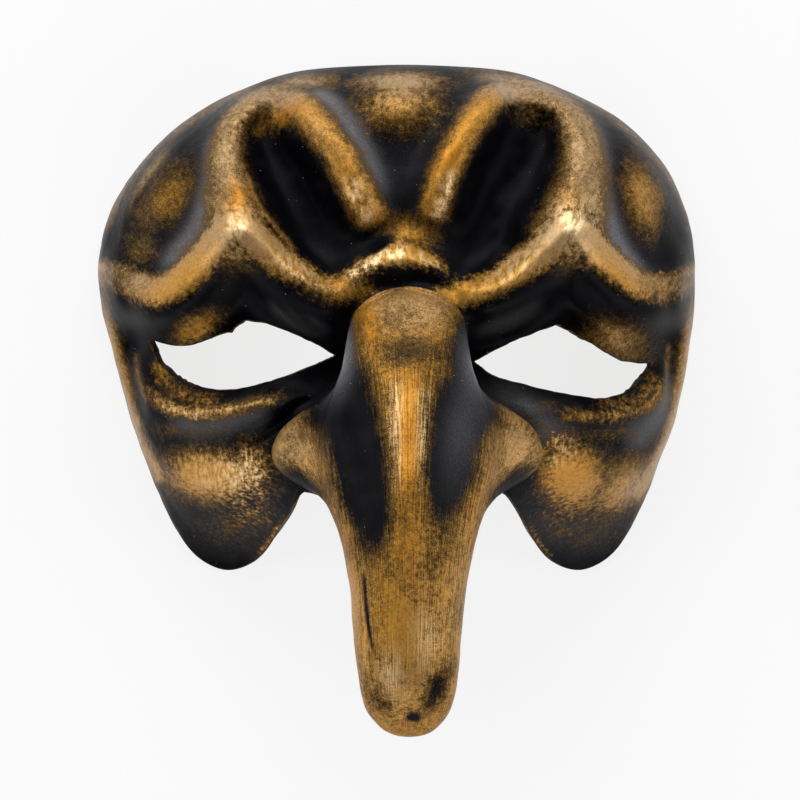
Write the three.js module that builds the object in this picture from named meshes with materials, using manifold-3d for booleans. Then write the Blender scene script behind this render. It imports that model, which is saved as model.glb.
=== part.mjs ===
// Theatre half mask: a thin painted papier-mache shell with a furrowed forehead, two eye openings,
// a long drooping nose and two cheek lobes. It lies face up on its rim.
// Millimetres. x runs to the right as the face is seen, y towards the forehead, z out of the face.
import * as THREE from 'three';
import { mergeVertices } from 'three/addons/utils/BufferGeometryUtils.js';
import Module from 'manifold-3d';

// Shell
const WALL = 2.2;
const HALF_WIDTH = 88.8;
const WIDEST_Y = 34;
const DOME_DEPTH = 56;
const DOME_POWER = 2.5;

// The left temple bulges more, so the middle of the face stands right of the box's centre, the origin
const MIDDLE_X = 2;
const TEMPLE_BULGE = { reach: -2, y: 36, spread: 26, fromX: 40, fullX: 85 };

// Outline: a superellipse over the crown, cut flat at the top, and a longer one down the cheeks
const CROWN = { height: 63, power: 2.1, cutY: 92.6, cutRound: 1 };
const CHEEK = { height: 145, power: 1.65 };
const TUCK = { share: 0.95, fromY: -8, toY: -60, fromX: 16, toX: 50 };

// Shares of the way to the outline: where the carving begins to die out, and where a line joins the rim
const RIM_FADE = 0.9;
const RIM_JOIN = 0.9;

// Where the nose stands, and the right half's lines from its foot to the mask's edge, top to bottom
const NOSE_X = 1.2;
const LINES = [
  { foot: [0, 27], edge: [0, 96] },
  { foot: [8, 25.2], edge: [36, 92] },
  { foot: [13.5, 21.2], edge: [62, 79] },
  { foot: [15.8, 16.2], edge: [80, 61] },
  { foot: [16.4, 11.2], edge: [88, 40] },
  { foot: [16.8, 6], edge: [86.5, 19] },
  { foot: [18.5, 1], edge: [83, 0.5] },
  { foot: [23, -3.5], edge: [79, -16] },
  { foot: [29, -7.5], edge: [73.5, -32] },
  { foot: [34.5, -12.5], edge: [66.8, -45.5] },
  { foot: [36.8, -17.5], edge: [60.5, -52.5] },
  { foot: [36.2, -21.5], edge: [52, -55.5] },
  { foot: [33.8, -24.5], edge: [42.5, -51] },
  { foot: [30.5, -26.8], edge: [33.5, -38] },
  { foot: [26.5, -28.3], edge: [28, -30.8] },
  { foot: [21.5, -29.5], edge: [22, -31.8] },
  { foot: [11, -30.7], edge: [11.5, -34] },
  { foot: [0, -31.2], edge: [0, -35] },
];
const LOBE_Y = -40;

// Nose from root to tip: the top and bottom of each section, half its width, and how round it is
const SECTIONS = [
  { topY: 27, topZ: 56, bottomY: -31.2, bottomZ: 48, half: 36.8, round: 0 },
  { topY: 26.6, topZ: 60.5, bottomY: -31.7, bottomZ: 51.5, half: 37.8, round: 0 },
  { topY: 24.4, topZ: 65.5, bottomY: -32.5, bottomZ: 55, half: 36.8, round: 0.08 },
  { topY: 18, topZ: 70.5, bottomY: -34.5, bottomZ: 58.5, half: 33.6, round: 0.28 },
  { topY: 7.5, topZ: 75.8, bottomY: -38, bottomZ: 62.5, half: 29, round: 0.6 },
  { topY: -7, topZ: 82, bottomY: -43.5, bottomZ: 66.5, half: 23.8, round: 0.88 },
  { topY: -24, topZ: 90, bottomY: -51.5, bottomZ: 71, half: 19, round: 1 },
  { topY: -42, topZ: 97.5, bottomY: -61, bottomZ: 75.5, half: 15.9, round: 1 },
  { topY: -58, topZ: 103, bottomY: -70, bottomZ: 79.5, half: 14.4, round: 1 },
  { topY: -72.5, topZ: 105, bottomY: -78.5, bottomZ: 83, half: 13.4, round: 1 },
  { topY: -84, topZ: 101.5, bottomY: -86, bottomZ: 86, half: 11.3, round: 1 },
  { topY: -90.5, topZ: 96.6, bottomY: -90.2, bottomZ: 88.8, half: 7.2, round: 1 },
  { topY: -92.3, topZ: 94.3, bottomY: -92.2, bottomZ: 90.6, half: 3.6, round: 1 },
  { topY: -92.8, topZ: 92.5, bottomY: -92.7, bottomZ: 92.1, half: 0.4, round: 1 },
];
const LEAD_SECTION = 2;
const PRESS_SECTION = 3;

// Carving of the forehead: the brow's wave, and the ridges that rise from it
const BROW_WAVE = [
  [-92, 34], [-79, 30], [-67.5, 27], [-57, 34.5], [-47, 44.5], [-38.5, 39], [-29, 30.5],
  [-20, 26.3], [-11.5, 29.8], [-1, 35.5], [7.5, 31.5], [14.8, 26], [26.5, 28.5],
  [38, 37], [46.5, 44], [55.5, 36.5], [67.5, 28.5], [78, 29], [92, 35],
];
const BROW = { rise: 9, middle: -2, join: 2 };
const BROW_ABOVE = { width: 6.2, power: 2 };
const BROW_BELOW = { width: 10, power: 4 };
const SOCKET = { depth: 7, fromBrow: -5, toBrow: -18, fromY: 6, toY: -16 };
const RIDGES = [
  {
    path: [[-35, 81.5], [-29, 78.3], [-23.9, 71.9], [-17.7, 63.5], [-13, 54.5], [-9.6, 47.5], [-7.5, 41]],
    width: 7.4,
    power: 2.6,
    rise: 9,
    fade: [0.12, 0.22],
  },
  {
    path: [[32, 84], [26.5, 82], [21.5, 76.3], [15.9, 67.1], [11.7, 58.7], [9.1, 50.3], [7, 42]],
    width: 6.6,
    power: 2.6,
    rise: 9,
    fade: [0.12, 0.25],
  },
  {
    path: [[-37.5, 82.5], [-43, 80], [-47.5, 75], [-49.5, 68], [-49.3, 60], [-47.8, 50], [-46.3, 43]],
    width: 5.6,
    widen: 8,
    power: 2.6,
    rise: 8.5,
    fade: [0.1, 0],
  },
  {
    path: [[33, 83.5], [41, 81.5], [47, 77], [50, 69], [50.3, 60], [48.3, 51], [45.5, 43.5]],
    width: 6,
    widen: 8,
    power: 2.6,
    rise: 8.5,
    fade: [0.1, 0],
  },
];

// Bags under the eyes
const BAG = { width: 3.2, rise: 3.6, fade: [0.12, 0.35] };
const BAG_LEFT = [
  [-75.5, 11], [-75, 3], [-71.5, -3.5], [-63.5, -7.5], [-53, -7.8], [-43, -5.8], [-33, -2.5], [-24.5, 1],
];
const BAG_RIGHT = [
  [75.5, 10], [75, 1.5], [71, -5], [61.5, -8.6], [50, -8.8], [39.5, -6.5], [29.5, -3], [22.5, 0],
];

// Rounded bumps, and hollows with a negative rise: centre, half sizes, turn in degrees
const BUMPS = {
  crown: { at: [-0.5, 80], half: [13, 11], turn: 0, rise: 7.5 },
  templeLeft: { at: [-67.5, 58], half: [14.5, 9.5], turn: 55, rise: 7 },
  templeRight: { at: [69.5, 55], half: [15.5, 9], turn: 100, rise: 6.5 },
  furrowLeft: { at: [-31, 54], half: [22, 9.5], turn: -62, power: 3, rise: -6 },
  furrowRight: { at: [30, 54], half: [23, 10.5], turn: 62, power: 3, rise: -6 },
  lidLeft: { at: [-60, 16], half: [12, 6], turn: -22, rise: 3.2 },
  lidRight: { at: [61, 13.5], half: [12, 6], turn: 12, rise: 3.2 },
  cheekLeft: { at: [-52, -26], half: [20, 12], turn: 8, rise: 7 },
  cheekRight: { at: [50, -25], half: [21, 13], turn: -10, rise: 7 },
  cheekHollowLeft: { at: [-54, -15], half: [26, 5], turn: 0, rise: -3.5 },
  cheekHollowRight: { at: [56, -16], half: [26, 5], turn: -4, rise: -3.5 },
  sideGrooveLeft: { at: [-79.5, 6], half: [22, 3.4], turn: 80, rise: -3 },
  sideGrooveRight: { at: [79.5, 5], half: [22, 3.4], turn: 98, rise: -3 },
};

// The nose's raised back and the long hollow on each side of it
const NOSE_STROKES = [
  { path: [[0, 16], [0, 4], [0, -20], [0, -56]], width: 5.6, rise: 2.4, fade: [0.35, 0.5] },
  { path: [[-17, 6], [-15.4, -10], [-12.6, -26], [-9, -50]], width: 5, rise: -3.4, fade: [0.35, 0.5] },
  { path: [[17, 6], [15.8, -10], [13, -25], [9.5, -46]], width: 5, rise: -3.4, fade: [0.35, 0.5] },
];

// Eye openings: upper lid from the inner corner to its peak, on to the outer corner, and the lower lid back
const EYE_LEFT = [
  [[-19.3, 8.2], [-28.7, 12.9], [-38.6, 16.9], [-44.2, 18]],
  [[-44.2, 18], [-48.8, 15.3], [-54.5, 12.8], [-60.2, 11], [-66, 11.2], [-72.4, 12.9]],
  [
    [-72.4, 12.9], [-70, 7.1], [-66.4, 3.7], [-61.8, 1.1],
    [-53, -0.9], [-44.3, -0.2], [-30, 3.8], [-19.3, 8.2],
  ],
];
const EYE_RIGHT = [
  [[19.9, 6.5], [25, 9.2], [32.5, 12.4], [43.5, 16.9]],
  [[43.5, 16.9], [53.5, 11.5], [61.5, 7.2], [67.5, 6.2], [72.2, 6.3]],
  [
    [72.2, 6.3], [68.5, 2.1], [64, -1.5], [59.5, -3.1], [54, -3.5],
    [43.9, -1.8], [33.5, 0.6], [25.5, 2.9], [19.9, 6.5],
  ],
];
const EYE_STEP = 3.5;
const EYE_CUT = { from: 10, to: 75 };

// Black paint with gold rubbed over it, as one colour
const PAINT = { color: 0x7a5522, roughness: 0.42, metalness: 0.55 };

// How finely the shell is divided
const SPOKES = 96;
const FACE_RINGS = 16;
const NOSE_RINGS = 14;
const NOSE_CROWDING = 0.6;
const PATH_STEP = 1.5;
const ARC_SAMPLES = 160;
const SPOKE_LAP = 3;

// Lengths that count as nothing: rounding, points that are one and the same, and a rim that lies flat
const ROUNDING = 1e-9;
const SAME_POINT = 1e-4;
const FLAT_Z = 0.01;

const TURN = 2 * Math.PI;

function smooth(from, to, value) {
  const t = Math.min(Math.max((value - from) / (to - from), 0), 1);
  return t * t * (3 - 2 * t);
}

// Cubic curve through rows of numbers at rising knots
function spline(knots, rows, at) {
  const last = knots.length - 1;
  let i = 0;
  while (i < last - 1 && knots[i + 1] <= at) i += 1;
  const before = Math.max(i - 1, 0);
  const after = Math.min(i + 2, last);
  const span = knots[i + 1] - knots[i];
  const s = (at - knots[i]) / span;
  return rows[i].map((value, k) => {
    const start = (rows[i + 1][k] - rows[before][k]) / (knots[i + 1] - knots[before]);
    const end = (rows[after][k] - value) / (knots[after] - knots[i]);
    const easeIn = s ** 3 - 2 * s ** 2 + s;
    const easeOut = s ** 3 - s ** 2;
    const blend = 2 * s ** 3 - 3 * s ** 2;
    return (1 + blend) * value - blend * rows[i + 1][k] + span * (easeIn * start + easeOut * end);
  });
}

// Distances along a line of points, from its first
function runOf(points) {
  const run = [0];
  for (let i = 1; i < points.length; i += 1) {
    run.push(run[i - 1] + Math.hypot(...points[i].map((value, k) => value - points[i - 1][k])));
  }
  return run;
}

// A path as a smooth curve cut into short steps
function curvePoints(path, step) {
  const run = runOf(path);
  const length = run[run.length - 1];
  const steps = Math.max(2, Math.floor(length / step));
  return Array.from({ length: steps + 1 }, (_, i) => spline(run, path, (length * i) / steps));
}

// Distance to a curve, and how far along it the nearest point lies, from 0 to 1
function nearestOn(curve, x, y) {
  let nearest = Infinity;
  let share = 0;
  for (let i = 0; i + 1 < curve.length; i += 1) {
    const [ax, ay] = curve[i];
    const [dx, dy] = [curve[i + 1][0] - ax, curve[i + 1][1] - ay];
    const t = Math.min(Math.max(((x - ax) * dx + (y - ay) * dy) / (dx * dx + dy * dy), 0), 1);
    const distance = Math.hypot(x - ax - t * dx, y - ay - t * dy);
    if (distance < nearest) {
      nearest = distance;
      share = (i + t) / (curve.length - 1);
    }
  }
  return [nearest, share];
}

// Rounded fall from 1 in the middle to 0 far off; a higher power has a flatter top and steeper sides
function hill(distance, width, power = 2) {
  return Math.exp(-((distance / width) ** power));
}

// Height from 0 to 1 of a rounded ridge along a path, which can widen and fades towards its two ends
function stroke({ curve, width, widen = 0, power, fade }, x, y) {
  const [nearest, share] = nearestOn(curve, x, y);
  const start = fade[0] > 0 ? smooth(0, fade[0], share) : 1;
  const end = fade[1] > 0 ? smooth(0, fade[1], 1 - share) : 1;
  return hill(nearest, width + widen * share ** 2, power) * start * end;
}

function withCurve(row) {
  return { ...row, curve: curvePoints(row.path, PATH_STEP) };
}

function bump({ at, half, turn, power }, x, y) {
  const angle = THREE.MathUtils.degToRad(turn);
  const [dx, dy] = [x - at[0], y - at[1]];
  const along = dx * Math.cos(angle) + dy * Math.sin(angle);
  const across = dy * Math.cos(angle) - dx * Math.sin(angle);
  return hill(Math.hypot(along / half[0], across / half[1]), 1, power);
}

// Distance from the centre to the outline in one direction
function outlineRadius(angle) {
  const [c, s] = [Math.abs(Math.cos(angle)), Math.sin(angle)];
  const { height, power } = s > 0 ? CROWN : CHEEK;
  return ((c / HALF_WIDTH) ** power + (Math.abs(s) / height) ** power) ** (-1 / power);
}

function outlineShare(x, y) {
  return Math.min(Math.hypot(x, y - WIDEST_Y) / outlineRadius(Math.atan2(y - WIDEST_Y, x)), 1);
}

// The bare shell: upright at the outline, and drawn back towards the lobes
function domeHeight(x, y) {
  const rise = (1 - outlineShare(x, y) ** DOME_POWER) ** (1 / DOME_POWER);
  const tuck = TUCK.share * smooth(TUCK.fromY, TUCK.toY, y) * smooth(TUCK.fromX, TUCK.toX, Math.abs(x));
  return DOME_DEPTH * rise * (1 - tuck);
}

const ridges = RIDGES.map(withCurve);
const bags = [BAG_LEFT, BAG_RIGHT].map((path) => withCurve({ ...BAG, path }));
const noseStrokes = NOSE_STROKES.map(withCurve);
const waveX = BROW_WAVE.map(([x]) => x);
const waveY = BROW_WAVE.map(([, y]) => [y]);
const waveCurve = curvePoints(BROW_WAVE, PATH_STEP);

// Distance above the brow's wave, negative below it
function aboveBrow(x, y) {
  return Math.sign(y - spline(waveX, waveY, x)[0]) * nearestOn(waveCurve, x, y)[0];
}

function carving(x, y) {
  const d = aboveBrow(x, y);
  const side = d > BROW.middle ? BROW_ABOVE : BROW_BELOW;
  const crest = BROW.rise * hill(Math.abs(d - BROW.middle), side.width, side.power);
  const rises = [crest, ...ridges.map((row) => row.rise * stroke(row, x, y))];
  const joined = rises.reduce((sum, rise) => sum + rise ** BROW.join, 0) ** (1 / BROW.join);
  const socket = (1 - smooth(SOCKET.toBrow, SOCKET.fromBrow, d)) * smooth(SOCKET.toY, SOCKET.fromY, y);
  let height = joined - SOCKET.depth * socket;
  for (const bag of bags) height += bag.rise * stroke(bag, x, y);
  for (const row of Object.values(BUMPS)) height += row.rise * bump(row, x, y);
  return height;
}

// The carving dies out towards the rim, so that the rim keeps its outline
function faceHeight(x, y) {
  return domeHeight(x, y) + (1 - smooth(RIM_FADE, 1, outlineShare(x, y))) * carving(x, y);
}

// The lines of both halves, clockwise from the forehead's middle
function allLines() {
  const left = LINES.slice(1, -1).reverse().map(({ foot, edge }) => ({
    foot: [-foot[0], foot[1]],
    edge: [-edge[0], edge[1]],
  }));
  return [...LINES, ...left];
}

// The flat cut across the crown, with rounded corners
function cutCrown(y) {
  return CROWN.cutY - CROWN.cutRound * Math.log1p(Math.exp((CROWN.cutY - y) / CROWN.cutRound));
}

// Evenly spaced spokes round the mask, each from the nose's foot to the edge
function makeSpokes() {
  const lines = allLines();
  const run = runOf([...lines, lines[0]].map(({ edge }) => edge));
  const length = run[run.length - 1];
  let lastAngle = Math.PI / 2;
  const rows = lines.map(({ foot, edge }, i) => {
    const [x, y] = edge;
    let angle = Math.atan2(y - WIDEST_Y, x);
    while (angle > lastAngle + ROUNDING) angle -= TURN;
    lastAngle = angle;
    const share = Math.hypot(x, y - WIDEST_Y) / outlineRadius(angle);
    const joins = y > LOBE_Y && share > RIM_JOIN;
    return [foot[0], foot[1], angle + (TURN * run[i]) / length, joins ? 1 : share];
  });
  const count = rows.length;
  const knots = [];
  const values = [];
  for (let i = -SPOKE_LAP; i < count + SPOKE_LAP; i += 1) {
    const turns = Math.floor(i / count);
    knots.push(run[i - turns * count] + turns * length);
    values.push(rows[i - turns * count]);
  }
  return Array.from({ length: SPOKES }, (_, i) => {
    const at = (length * i) / SPOKES;
    const [footX, footY, turned, share] = spline(knots, values, at);
    const angle = turned - (TURN * at) / length;
    const radius = Math.min(share, 1) * outlineRadius(angle);
    const edge = [radius * Math.cos(angle), cutCrown(WIDEST_Y + radius * Math.sin(angle))];
    return { foot: [NOSE_X + footX, footY], edge };
  });
}

// Points of one spoke, evenly spaced along the dome's curve
function spokePoints({ foot, edge }) {
  const on = (share) => foot.map((value, k) => value + (edge[k] - value) * share);
  const shares = Array.from({ length: ARC_SAMPLES + 1 }, (_, i) => 1 - (1 - i / ARC_SAMPLES) ** 3);
  const run = runOf(shares.map((share) => [...on(share), domeHeight(...on(share))]));
  const length = run[ARC_SAMPLES];
  return Array.from({ length: FACE_RINGS + 1 }, (_, ring) => {
    const target = (length * ring) / FACE_RINGS;
    const next = run.findIndex((value) => value >= target - ROUNDING);
    const from = Math.max(next - 1, 0);
    const part = next === from ? 0 : (target - run[from]) / (run[next] - run[from]);
    const [x, y] = on(ring === FACE_RINGS ? 1 : shares[from] + part * (shares[next] - shares[from]));
    return new THREE.Vector3(x, y, faceHeight(x, y));
  });
}

// One ring of the nose at a distance along it; the foot's own shape turns into an ellipse
function noseRing(feet, section, lead) {
  const [topY, topZ, bottomY, bottomZ, half, round] = section;
  const root = SECTIONS[0];
  return feet.map((point) => {
    const across = (point.x - NOSE_X) / root.half;
    const up = (2 * (point.y - root.bottomY)) / (root.topY - root.bottomY) - 1;
    const angle = Math.atan2(up, across);
    const a = across * (1 - round) + Math.cos(angle) * round;
    const b = (up * (1 - round) + Math.sin(angle) * round + 1) / 2;
    const y = bottomY + (topY - bottomY) * b;
    const z = bottomZ + (topZ - bottomZ) * b;
    return new THREE.Vector3(NOSE_X + half * a, y, point.z * (1 - lead) + z * lead);
  });
}

// Raises the nose's back and presses in its sides, on the upper half of a ring
function pressNose(ring, amount) {
  const middle = ring.reduce((sum, point) => sum + point.z, 0) / ring.length;
  for (const point of ring.filter(({ z }) => z >= middle)) {
    for (const row of noseStrokes) point.z += amount * row.rise * stroke(row, point.x - NOSE_X, point.y);
  }
}

// The nose's rings from just off the face to the tip, closer at both ends, on every second spoke
function makeNose(feet) {
  const rows = SECTIONS.map((s) => [s.topY, s.topZ, s.bottomY, s.bottomZ, s.half, s.round]);
  const run = runOf(rows.map(([topY, topZ, bottomY, bottomZ, half]) => [
    (topY + bottomY) / 2,
    (topZ + bottomZ) / 2,
    half / 2,
  ]));
  const rings = [];
  for (let i = 1; i <= NOSE_RINGS; i += 1) {
    const even = i / NOSE_RINGS;
    const at = run[run.length - 1] * (even - (NOSE_CROWDING * Math.sin(TURN * even)) / TURN);
    const ring = noseRing(feet, spline(run, rows, at), smooth(0, run[LEAD_SECTION], at));
    pressNose(ring, smooth(0, run[PRESS_SECTION], at));
    rings.push(ring);
  }
  return rings;
}

// Moves the temples, and sets the box's centre on the origin
function place(point) {
  const { reach, y, spread, fromX, fullX } = TEMPLE_BULGE;
  const shift = reach * Math.exp(-(((point.y - y) / spread) ** 2)) * smooth(fromX, fullX, Math.abs(point.x));
  point.x += MIDDLE_X + shift;
  return point;
}

// True where a cell of the face folds along its diagonal from a to c, rather than from b to d
function foldsAlong(a, b, c, d) {
  const [x, y] = [(a.x + b.x + c.x + d.x) / 4, (a.y + b.y + c.y + d.y) / 4];
  const height = faceHeight(x, y);
  return Math.abs((a.z + c.z) / 2 - height) < Math.abs((b.z + d.z) / 2 - height);
}

// Triangles between rings of points, wound so that the outside looks out; the nose has half as many spokes
function skin(faceRings, noseRings) {
  const points = [...faceRings.flat(), ...noseRings.flat()];
  const half = SPOKES / 2;
  const noseStart = faceRings.length * SPOKES;
  const face = (ring, i) => ring * SPOKES + (i % SPOKES);
  const nose = (ring, i) => noseStart + ring * half + (i % half);
  const triangles = [];
  for (let ring = 0; ring + 1 < faceRings.length; ring += 1) {
    for (let i = 0; i < SPOKES; i += 1) {
      const [a, b, c, d] = [face(ring, i), face(ring + 1, i), face(ring + 1, i + 1), face(ring, i + 1)];
      if (foldsAlong(...[a, b, c, d].map((k) => points[k]))) triangles.push([a, c, b], [a, d, c]);
      else triangles.push([a, d, b], [b, d, c]);
    }
  }
  for (let i = 0; i < half; i += 1) {
    triangles.push([nose(0, i), face(0, 2 * i + 1), face(0, 2 * i)]);
    triangles.push([nose(0, i), nose(0, i + 1), face(0, 2 * i + 1)]);
    triangles.push([nose(0, i + 1), face(0, 2 * i + 2), face(0, 2 * i + 1)]);
  }
  for (let ring = 0; ring + 1 < noseRings.length; ring += 1) {
    for (let i = 0; i < half; i += 1) {
      triangles.push([nose(ring + 1, i), nose(ring, i + 1), nose(ring, i)]);
      triangles.push([nose(ring + 1, i), nose(ring + 1, i + 1), nose(ring, i + 1)]);
    }
  }
  const lastRing = noseRings.length - 1;
  const tip = points.length;
  points.push(noseRings[lastRing].reduce((sum, p) => sum.add(p), new THREE.Vector3()).divideScalar(half));
  for (let i = 0; i < half; i += 1) triangles.push([tip, nose(lastRing, i + 1), nose(lastRing, i)]);
  return { points, triangles };
}

function asGeometry(points, triangles) {
  const geometry = new THREE.BufferGeometry();
  geometry.setFromPoints(points);
  geometry.setIndex(triangles.flat());
  return geometry;
}

// The whole skin and a second one a wall's thickness inside it, joined round the rim
function makeShell() {
  const spokes = makeSpokes().map(spokePoints);
  const faceRings = Array.from({ length: FACE_RINGS + 1 }, (_, ring) => spokes.map((points) => points[ring]));
  const noseRings = makeNose(faceRings[0].filter((_, i) => i % 2 === 0));
  const { points, triangles } = skin(faceRings, noseRings);
  points.forEach(place);
  const outer = asGeometry(points, triangles);
  outer.computeVertexNormals();
  const normals = outer.getAttribute('normal');
  const inner = points.map((point, i) => {
    const offset = new THREE.Vector3().fromBufferAttribute(normals, i);
    if (point.z < FLAT_Z) offset.setZ(0).normalize();
    return point.clone().addScaledVector(offset, -WALL);
  });
  const count = points.length;
  const inside = triangles.map(([a, b, c]) => [a + count, c + count, b + count]);
  const rimStart = FACE_RINGS * SPOKES;
  const rim = [];
  for (let i = 0; i < SPOKES; i += 1) {
    const [a, b] = [rimStart + i, rimStart + ((i + 1) % SPOKES)];
    rim.push([a, b, b + count], [a, b + count, a + count]);
  }
  return asGeometry([...points, ...inner], [...triangles, ...inside, ...rim]);
}

// A bar with the eye opening's outline, through the shell
function makeEyeCutter(curves) {
  const outline = curves.flatMap((curve) => curvePoints(curve, EYE_STEP).slice(0, -1));
  const shape = new THREE.Shape(outline.map(([x, y]) => new THREE.Vector2(MIDDLE_X + x, y)));
  const depth = EYE_CUT.to - EYE_CUT.from;
  const cutter = new THREE.ExtrudeGeometry(shape, { depth, bevelEnabled: false, steps: 1 });
  cutter.translate(0, 0, EYE_CUT.from);
  return cutter;
}

function toSolid(wasm, geometry) {
  const bare = geometry.clone();
  bare.deleteAttribute('normal');
  bare.deleteAttribute('uv');
  const merged = mergeVertices(bare, SAME_POINT);
  const index = merged.getIndex() ?? { array: merged.getAttribute('position').array.map((_, i) => i) };
  return new wasm.Manifold(new wasm.Mesh({
    numProp: 3,
    vertProperties: new Float32Array(merged.getAttribute('position').array),
    triVerts: new Uint32Array(index.array),
  }));
}

function fromSolid(solid) {
  const { vertProperties, triVerts } = solid.getMesh();
  const geometry = new THREE.BufferGeometry();
  geometry.setAttribute('position', new THREE.BufferAttribute(vertProperties, 3));
  geometry.setIndex(new THREE.BufferAttribute(triVerts, 1));
  geometry.computeVertexNormals();
  return geometry;
}

async function makeMask() {
  const wasm = await Module();
  wasm.setup();
  const openings = [EYE_LEFT, EYE_RIGHT].map((curves) => toSolid(wasm, makeEyeCutter(curves)));
  const shell = openings.reduce((solid, opening) => solid.subtract(opening), toSolid(wasm, makeShell()));
  const mask = new THREE.Mesh(fromSolid(shell), new THREE.MeshStandardMaterial(PAINT));
  mask.name = 'mask';
  return mask;
}

const group = new THREE.Group();
group.add(await makeMask());

export default group;
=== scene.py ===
import math

import bpy
import numpy as np
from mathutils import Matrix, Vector


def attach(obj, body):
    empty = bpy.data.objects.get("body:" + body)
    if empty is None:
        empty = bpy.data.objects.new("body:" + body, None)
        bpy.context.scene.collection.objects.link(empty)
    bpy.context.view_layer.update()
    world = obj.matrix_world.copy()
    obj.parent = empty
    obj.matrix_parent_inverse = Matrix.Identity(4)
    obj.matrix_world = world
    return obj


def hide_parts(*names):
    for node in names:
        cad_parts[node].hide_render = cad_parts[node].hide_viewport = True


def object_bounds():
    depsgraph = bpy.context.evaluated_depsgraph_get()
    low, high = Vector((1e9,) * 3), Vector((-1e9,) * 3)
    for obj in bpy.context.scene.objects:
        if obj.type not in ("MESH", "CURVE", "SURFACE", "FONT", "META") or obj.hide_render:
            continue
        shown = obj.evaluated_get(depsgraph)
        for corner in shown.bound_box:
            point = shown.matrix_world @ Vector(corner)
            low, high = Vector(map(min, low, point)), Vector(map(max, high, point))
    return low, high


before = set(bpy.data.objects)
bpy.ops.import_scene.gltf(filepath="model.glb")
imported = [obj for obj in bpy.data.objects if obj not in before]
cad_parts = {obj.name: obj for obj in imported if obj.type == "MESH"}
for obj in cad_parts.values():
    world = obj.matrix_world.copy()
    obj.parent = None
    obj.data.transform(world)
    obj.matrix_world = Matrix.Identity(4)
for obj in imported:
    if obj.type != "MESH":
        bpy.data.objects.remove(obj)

# A theatre half mask of papier-mache: black satin paint, with antique gold rubbed over the carving.
# It lies face up on a pale table and is seen from straight above.
# Sizes are in millimetres, measured from the middle of the face, until the meshes are made.
MM = 0.001
MIDDLE_X = 2.0
WALL = 2.2


def line(path, width, fade=(0.2, 0.2), **amounts):
    """A stroke along a path: its width, and the shares of its length over which its two ends fade."""
    return {"path": path, "width": width, "fade": fade, **amounts}


def patch(at, half, turn=0, **amounts):
    """A round patch: its centre, half sizes and turn in degrees."""
    return {"at": at, "half": half, "turn": turn, **amounts}


# Shell
HALF_WIDTH = 88.8
WIDEST_Y = 34.0
DOME_DEPTH = 56.0
DOME_POWER = 2.5
CROWN = {"height": 63.0, "power": 2.1, "cut_y": 92.6, "cut_round": 1.0}
CHEEK = {"height": 145.0, "power": 1.65}
TUCK = {"share": 0.95, "from_y": -8.0, "to_y": -60.0, "from_x": 16.0, "to_x": 50.0}
TEMPLE_BULGE = {"reach": -2.0, "y": 36.0, "spread": 26.0, "from_x": 40.0, "full_x": 85.0}
RIM_FADE = 0.9
RIM_JOIN = 0.9

# Where the nose stands, and the right half's lines from its foot to the mask's edge, top to bottom
NOSE_X = 1.2
LOBE_Y = -40.0
LINES = [
    ((0, 27), (0, 96)),
    ((8, 25.2), (36, 92)),
    ((13.5, 21.2), (62, 79)),
    ((15.8, 16.2), (80, 61)),
    ((16.4, 11.2), (88, 40)),
    ((16.8, 6), (86.5, 19)),
    ((18.5, 1), (83, 0.5)),
    ((23, -3.5), (79, -16)),
    ((29, -7.5), (73.5, -32)),
    ((34.5, -12.5), (66.8, -45.5)),
    ((36.8, -17.5), (60.5, -52.5)),
    ((36.2, -21.5), (52, -55.5)),
    ((33.8, -24.5), (42.5, -51)),
    ((30.5, -26.8), (33.5, -38)),
    ((26.5, -28.3), (28, -30.8)),
    ((21.5, -29.5), (22, -31.8)),
    ((11, -30.7), (11.5, -34)),
    ((0, -31.2), (0, -35)),
]

# Nose from root to tip: top y and z, bottom y and z, half the width, and how round the section is
SECTIONS = [
    (27, 56, -31.2, 48, 36.8, 0),
    (26.6, 60.5, -31.7, 51.5, 37.8, 0),
    (24.4, 65.5, -32.5, 55, 36.8, 0.08),
    (18, 70.5, -34.5, 58.5, 33.6, 0.28),
    (7.5, 75.8, -38, 62.5, 29, 0.6),
    (-7, 82, -43.5, 66.5, 23.8, 0.88),
    (-24, 90, -51.5, 71, 19, 1),
    (-42, 97.5, -61, 75.5, 15.9, 1),
    (-58, 103, -70, 79.5, 14.4, 1),
    (-72.5, 105, -78.5, 83, 13.4, 1),
    (-84, 101.5, -86, 86, 11.3, 1),
    (-90.5, 96.6, -90.2, 88.8, 7.2, 1),
    (-92.3, 94.3, -92.2, 90.6, 3.6, 1),
    (-92.8, 92.5, -92.7, 92.1, 0.4, 1),
]
LEAD_SECTION = 2
PRESS_SECTION = 3

# Carving of the forehead: the brow's wave, and the ridges that rise from it
BROW_WAVE = [
    (-92, 34), (-79, 30), (-67.5, 27), (-57, 34.5), (-47, 44.5), (-38.5, 39), (-29, 30.5),
    (-20, 26.3), (-11.5, 29.8), (-1, 35.5), (7.5, 31.5), (14.8, 26), (26.5, 28.5),
    (38, 37), (46.5, 44), (55.5, 36.5), (67.5, 28.5), (78, 29), (92, 35),
]
BROW = {"rise": 9.0, "middle": -2.0, "join": 2.0}
BROW_ABOVE = {"width": 6.2, "power": 2.0}
BROW_BELOW = {"width": 10.0, "power": 4.0}
SOCKET = {"depth": 7.0, "from_brow": -5.0, "to_brow": -18.0, "from_y": 6.0, "to_y": -16.0}
V_LEFT = [(-35, 81.5), (-29, 78.3), (-23.9, 71.9), (-17.7, 63.5), (-13, 54.5), (-9.6, 47.5), (-7.5, 41)]
V_RIGHT = [(32, 84), (26.5, 82), (21.5, 76.3), (15.9, 67.1), (11.7, 58.7), (9.1, 50.3), (7, 42)]
PEAK_LEFT = [(-37.5, 82.5), (-43, 80), (-47.5, 75), (-49.5, 68), (-49.3, 60), (-47.8, 50), (-46.3, 43)]
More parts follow.
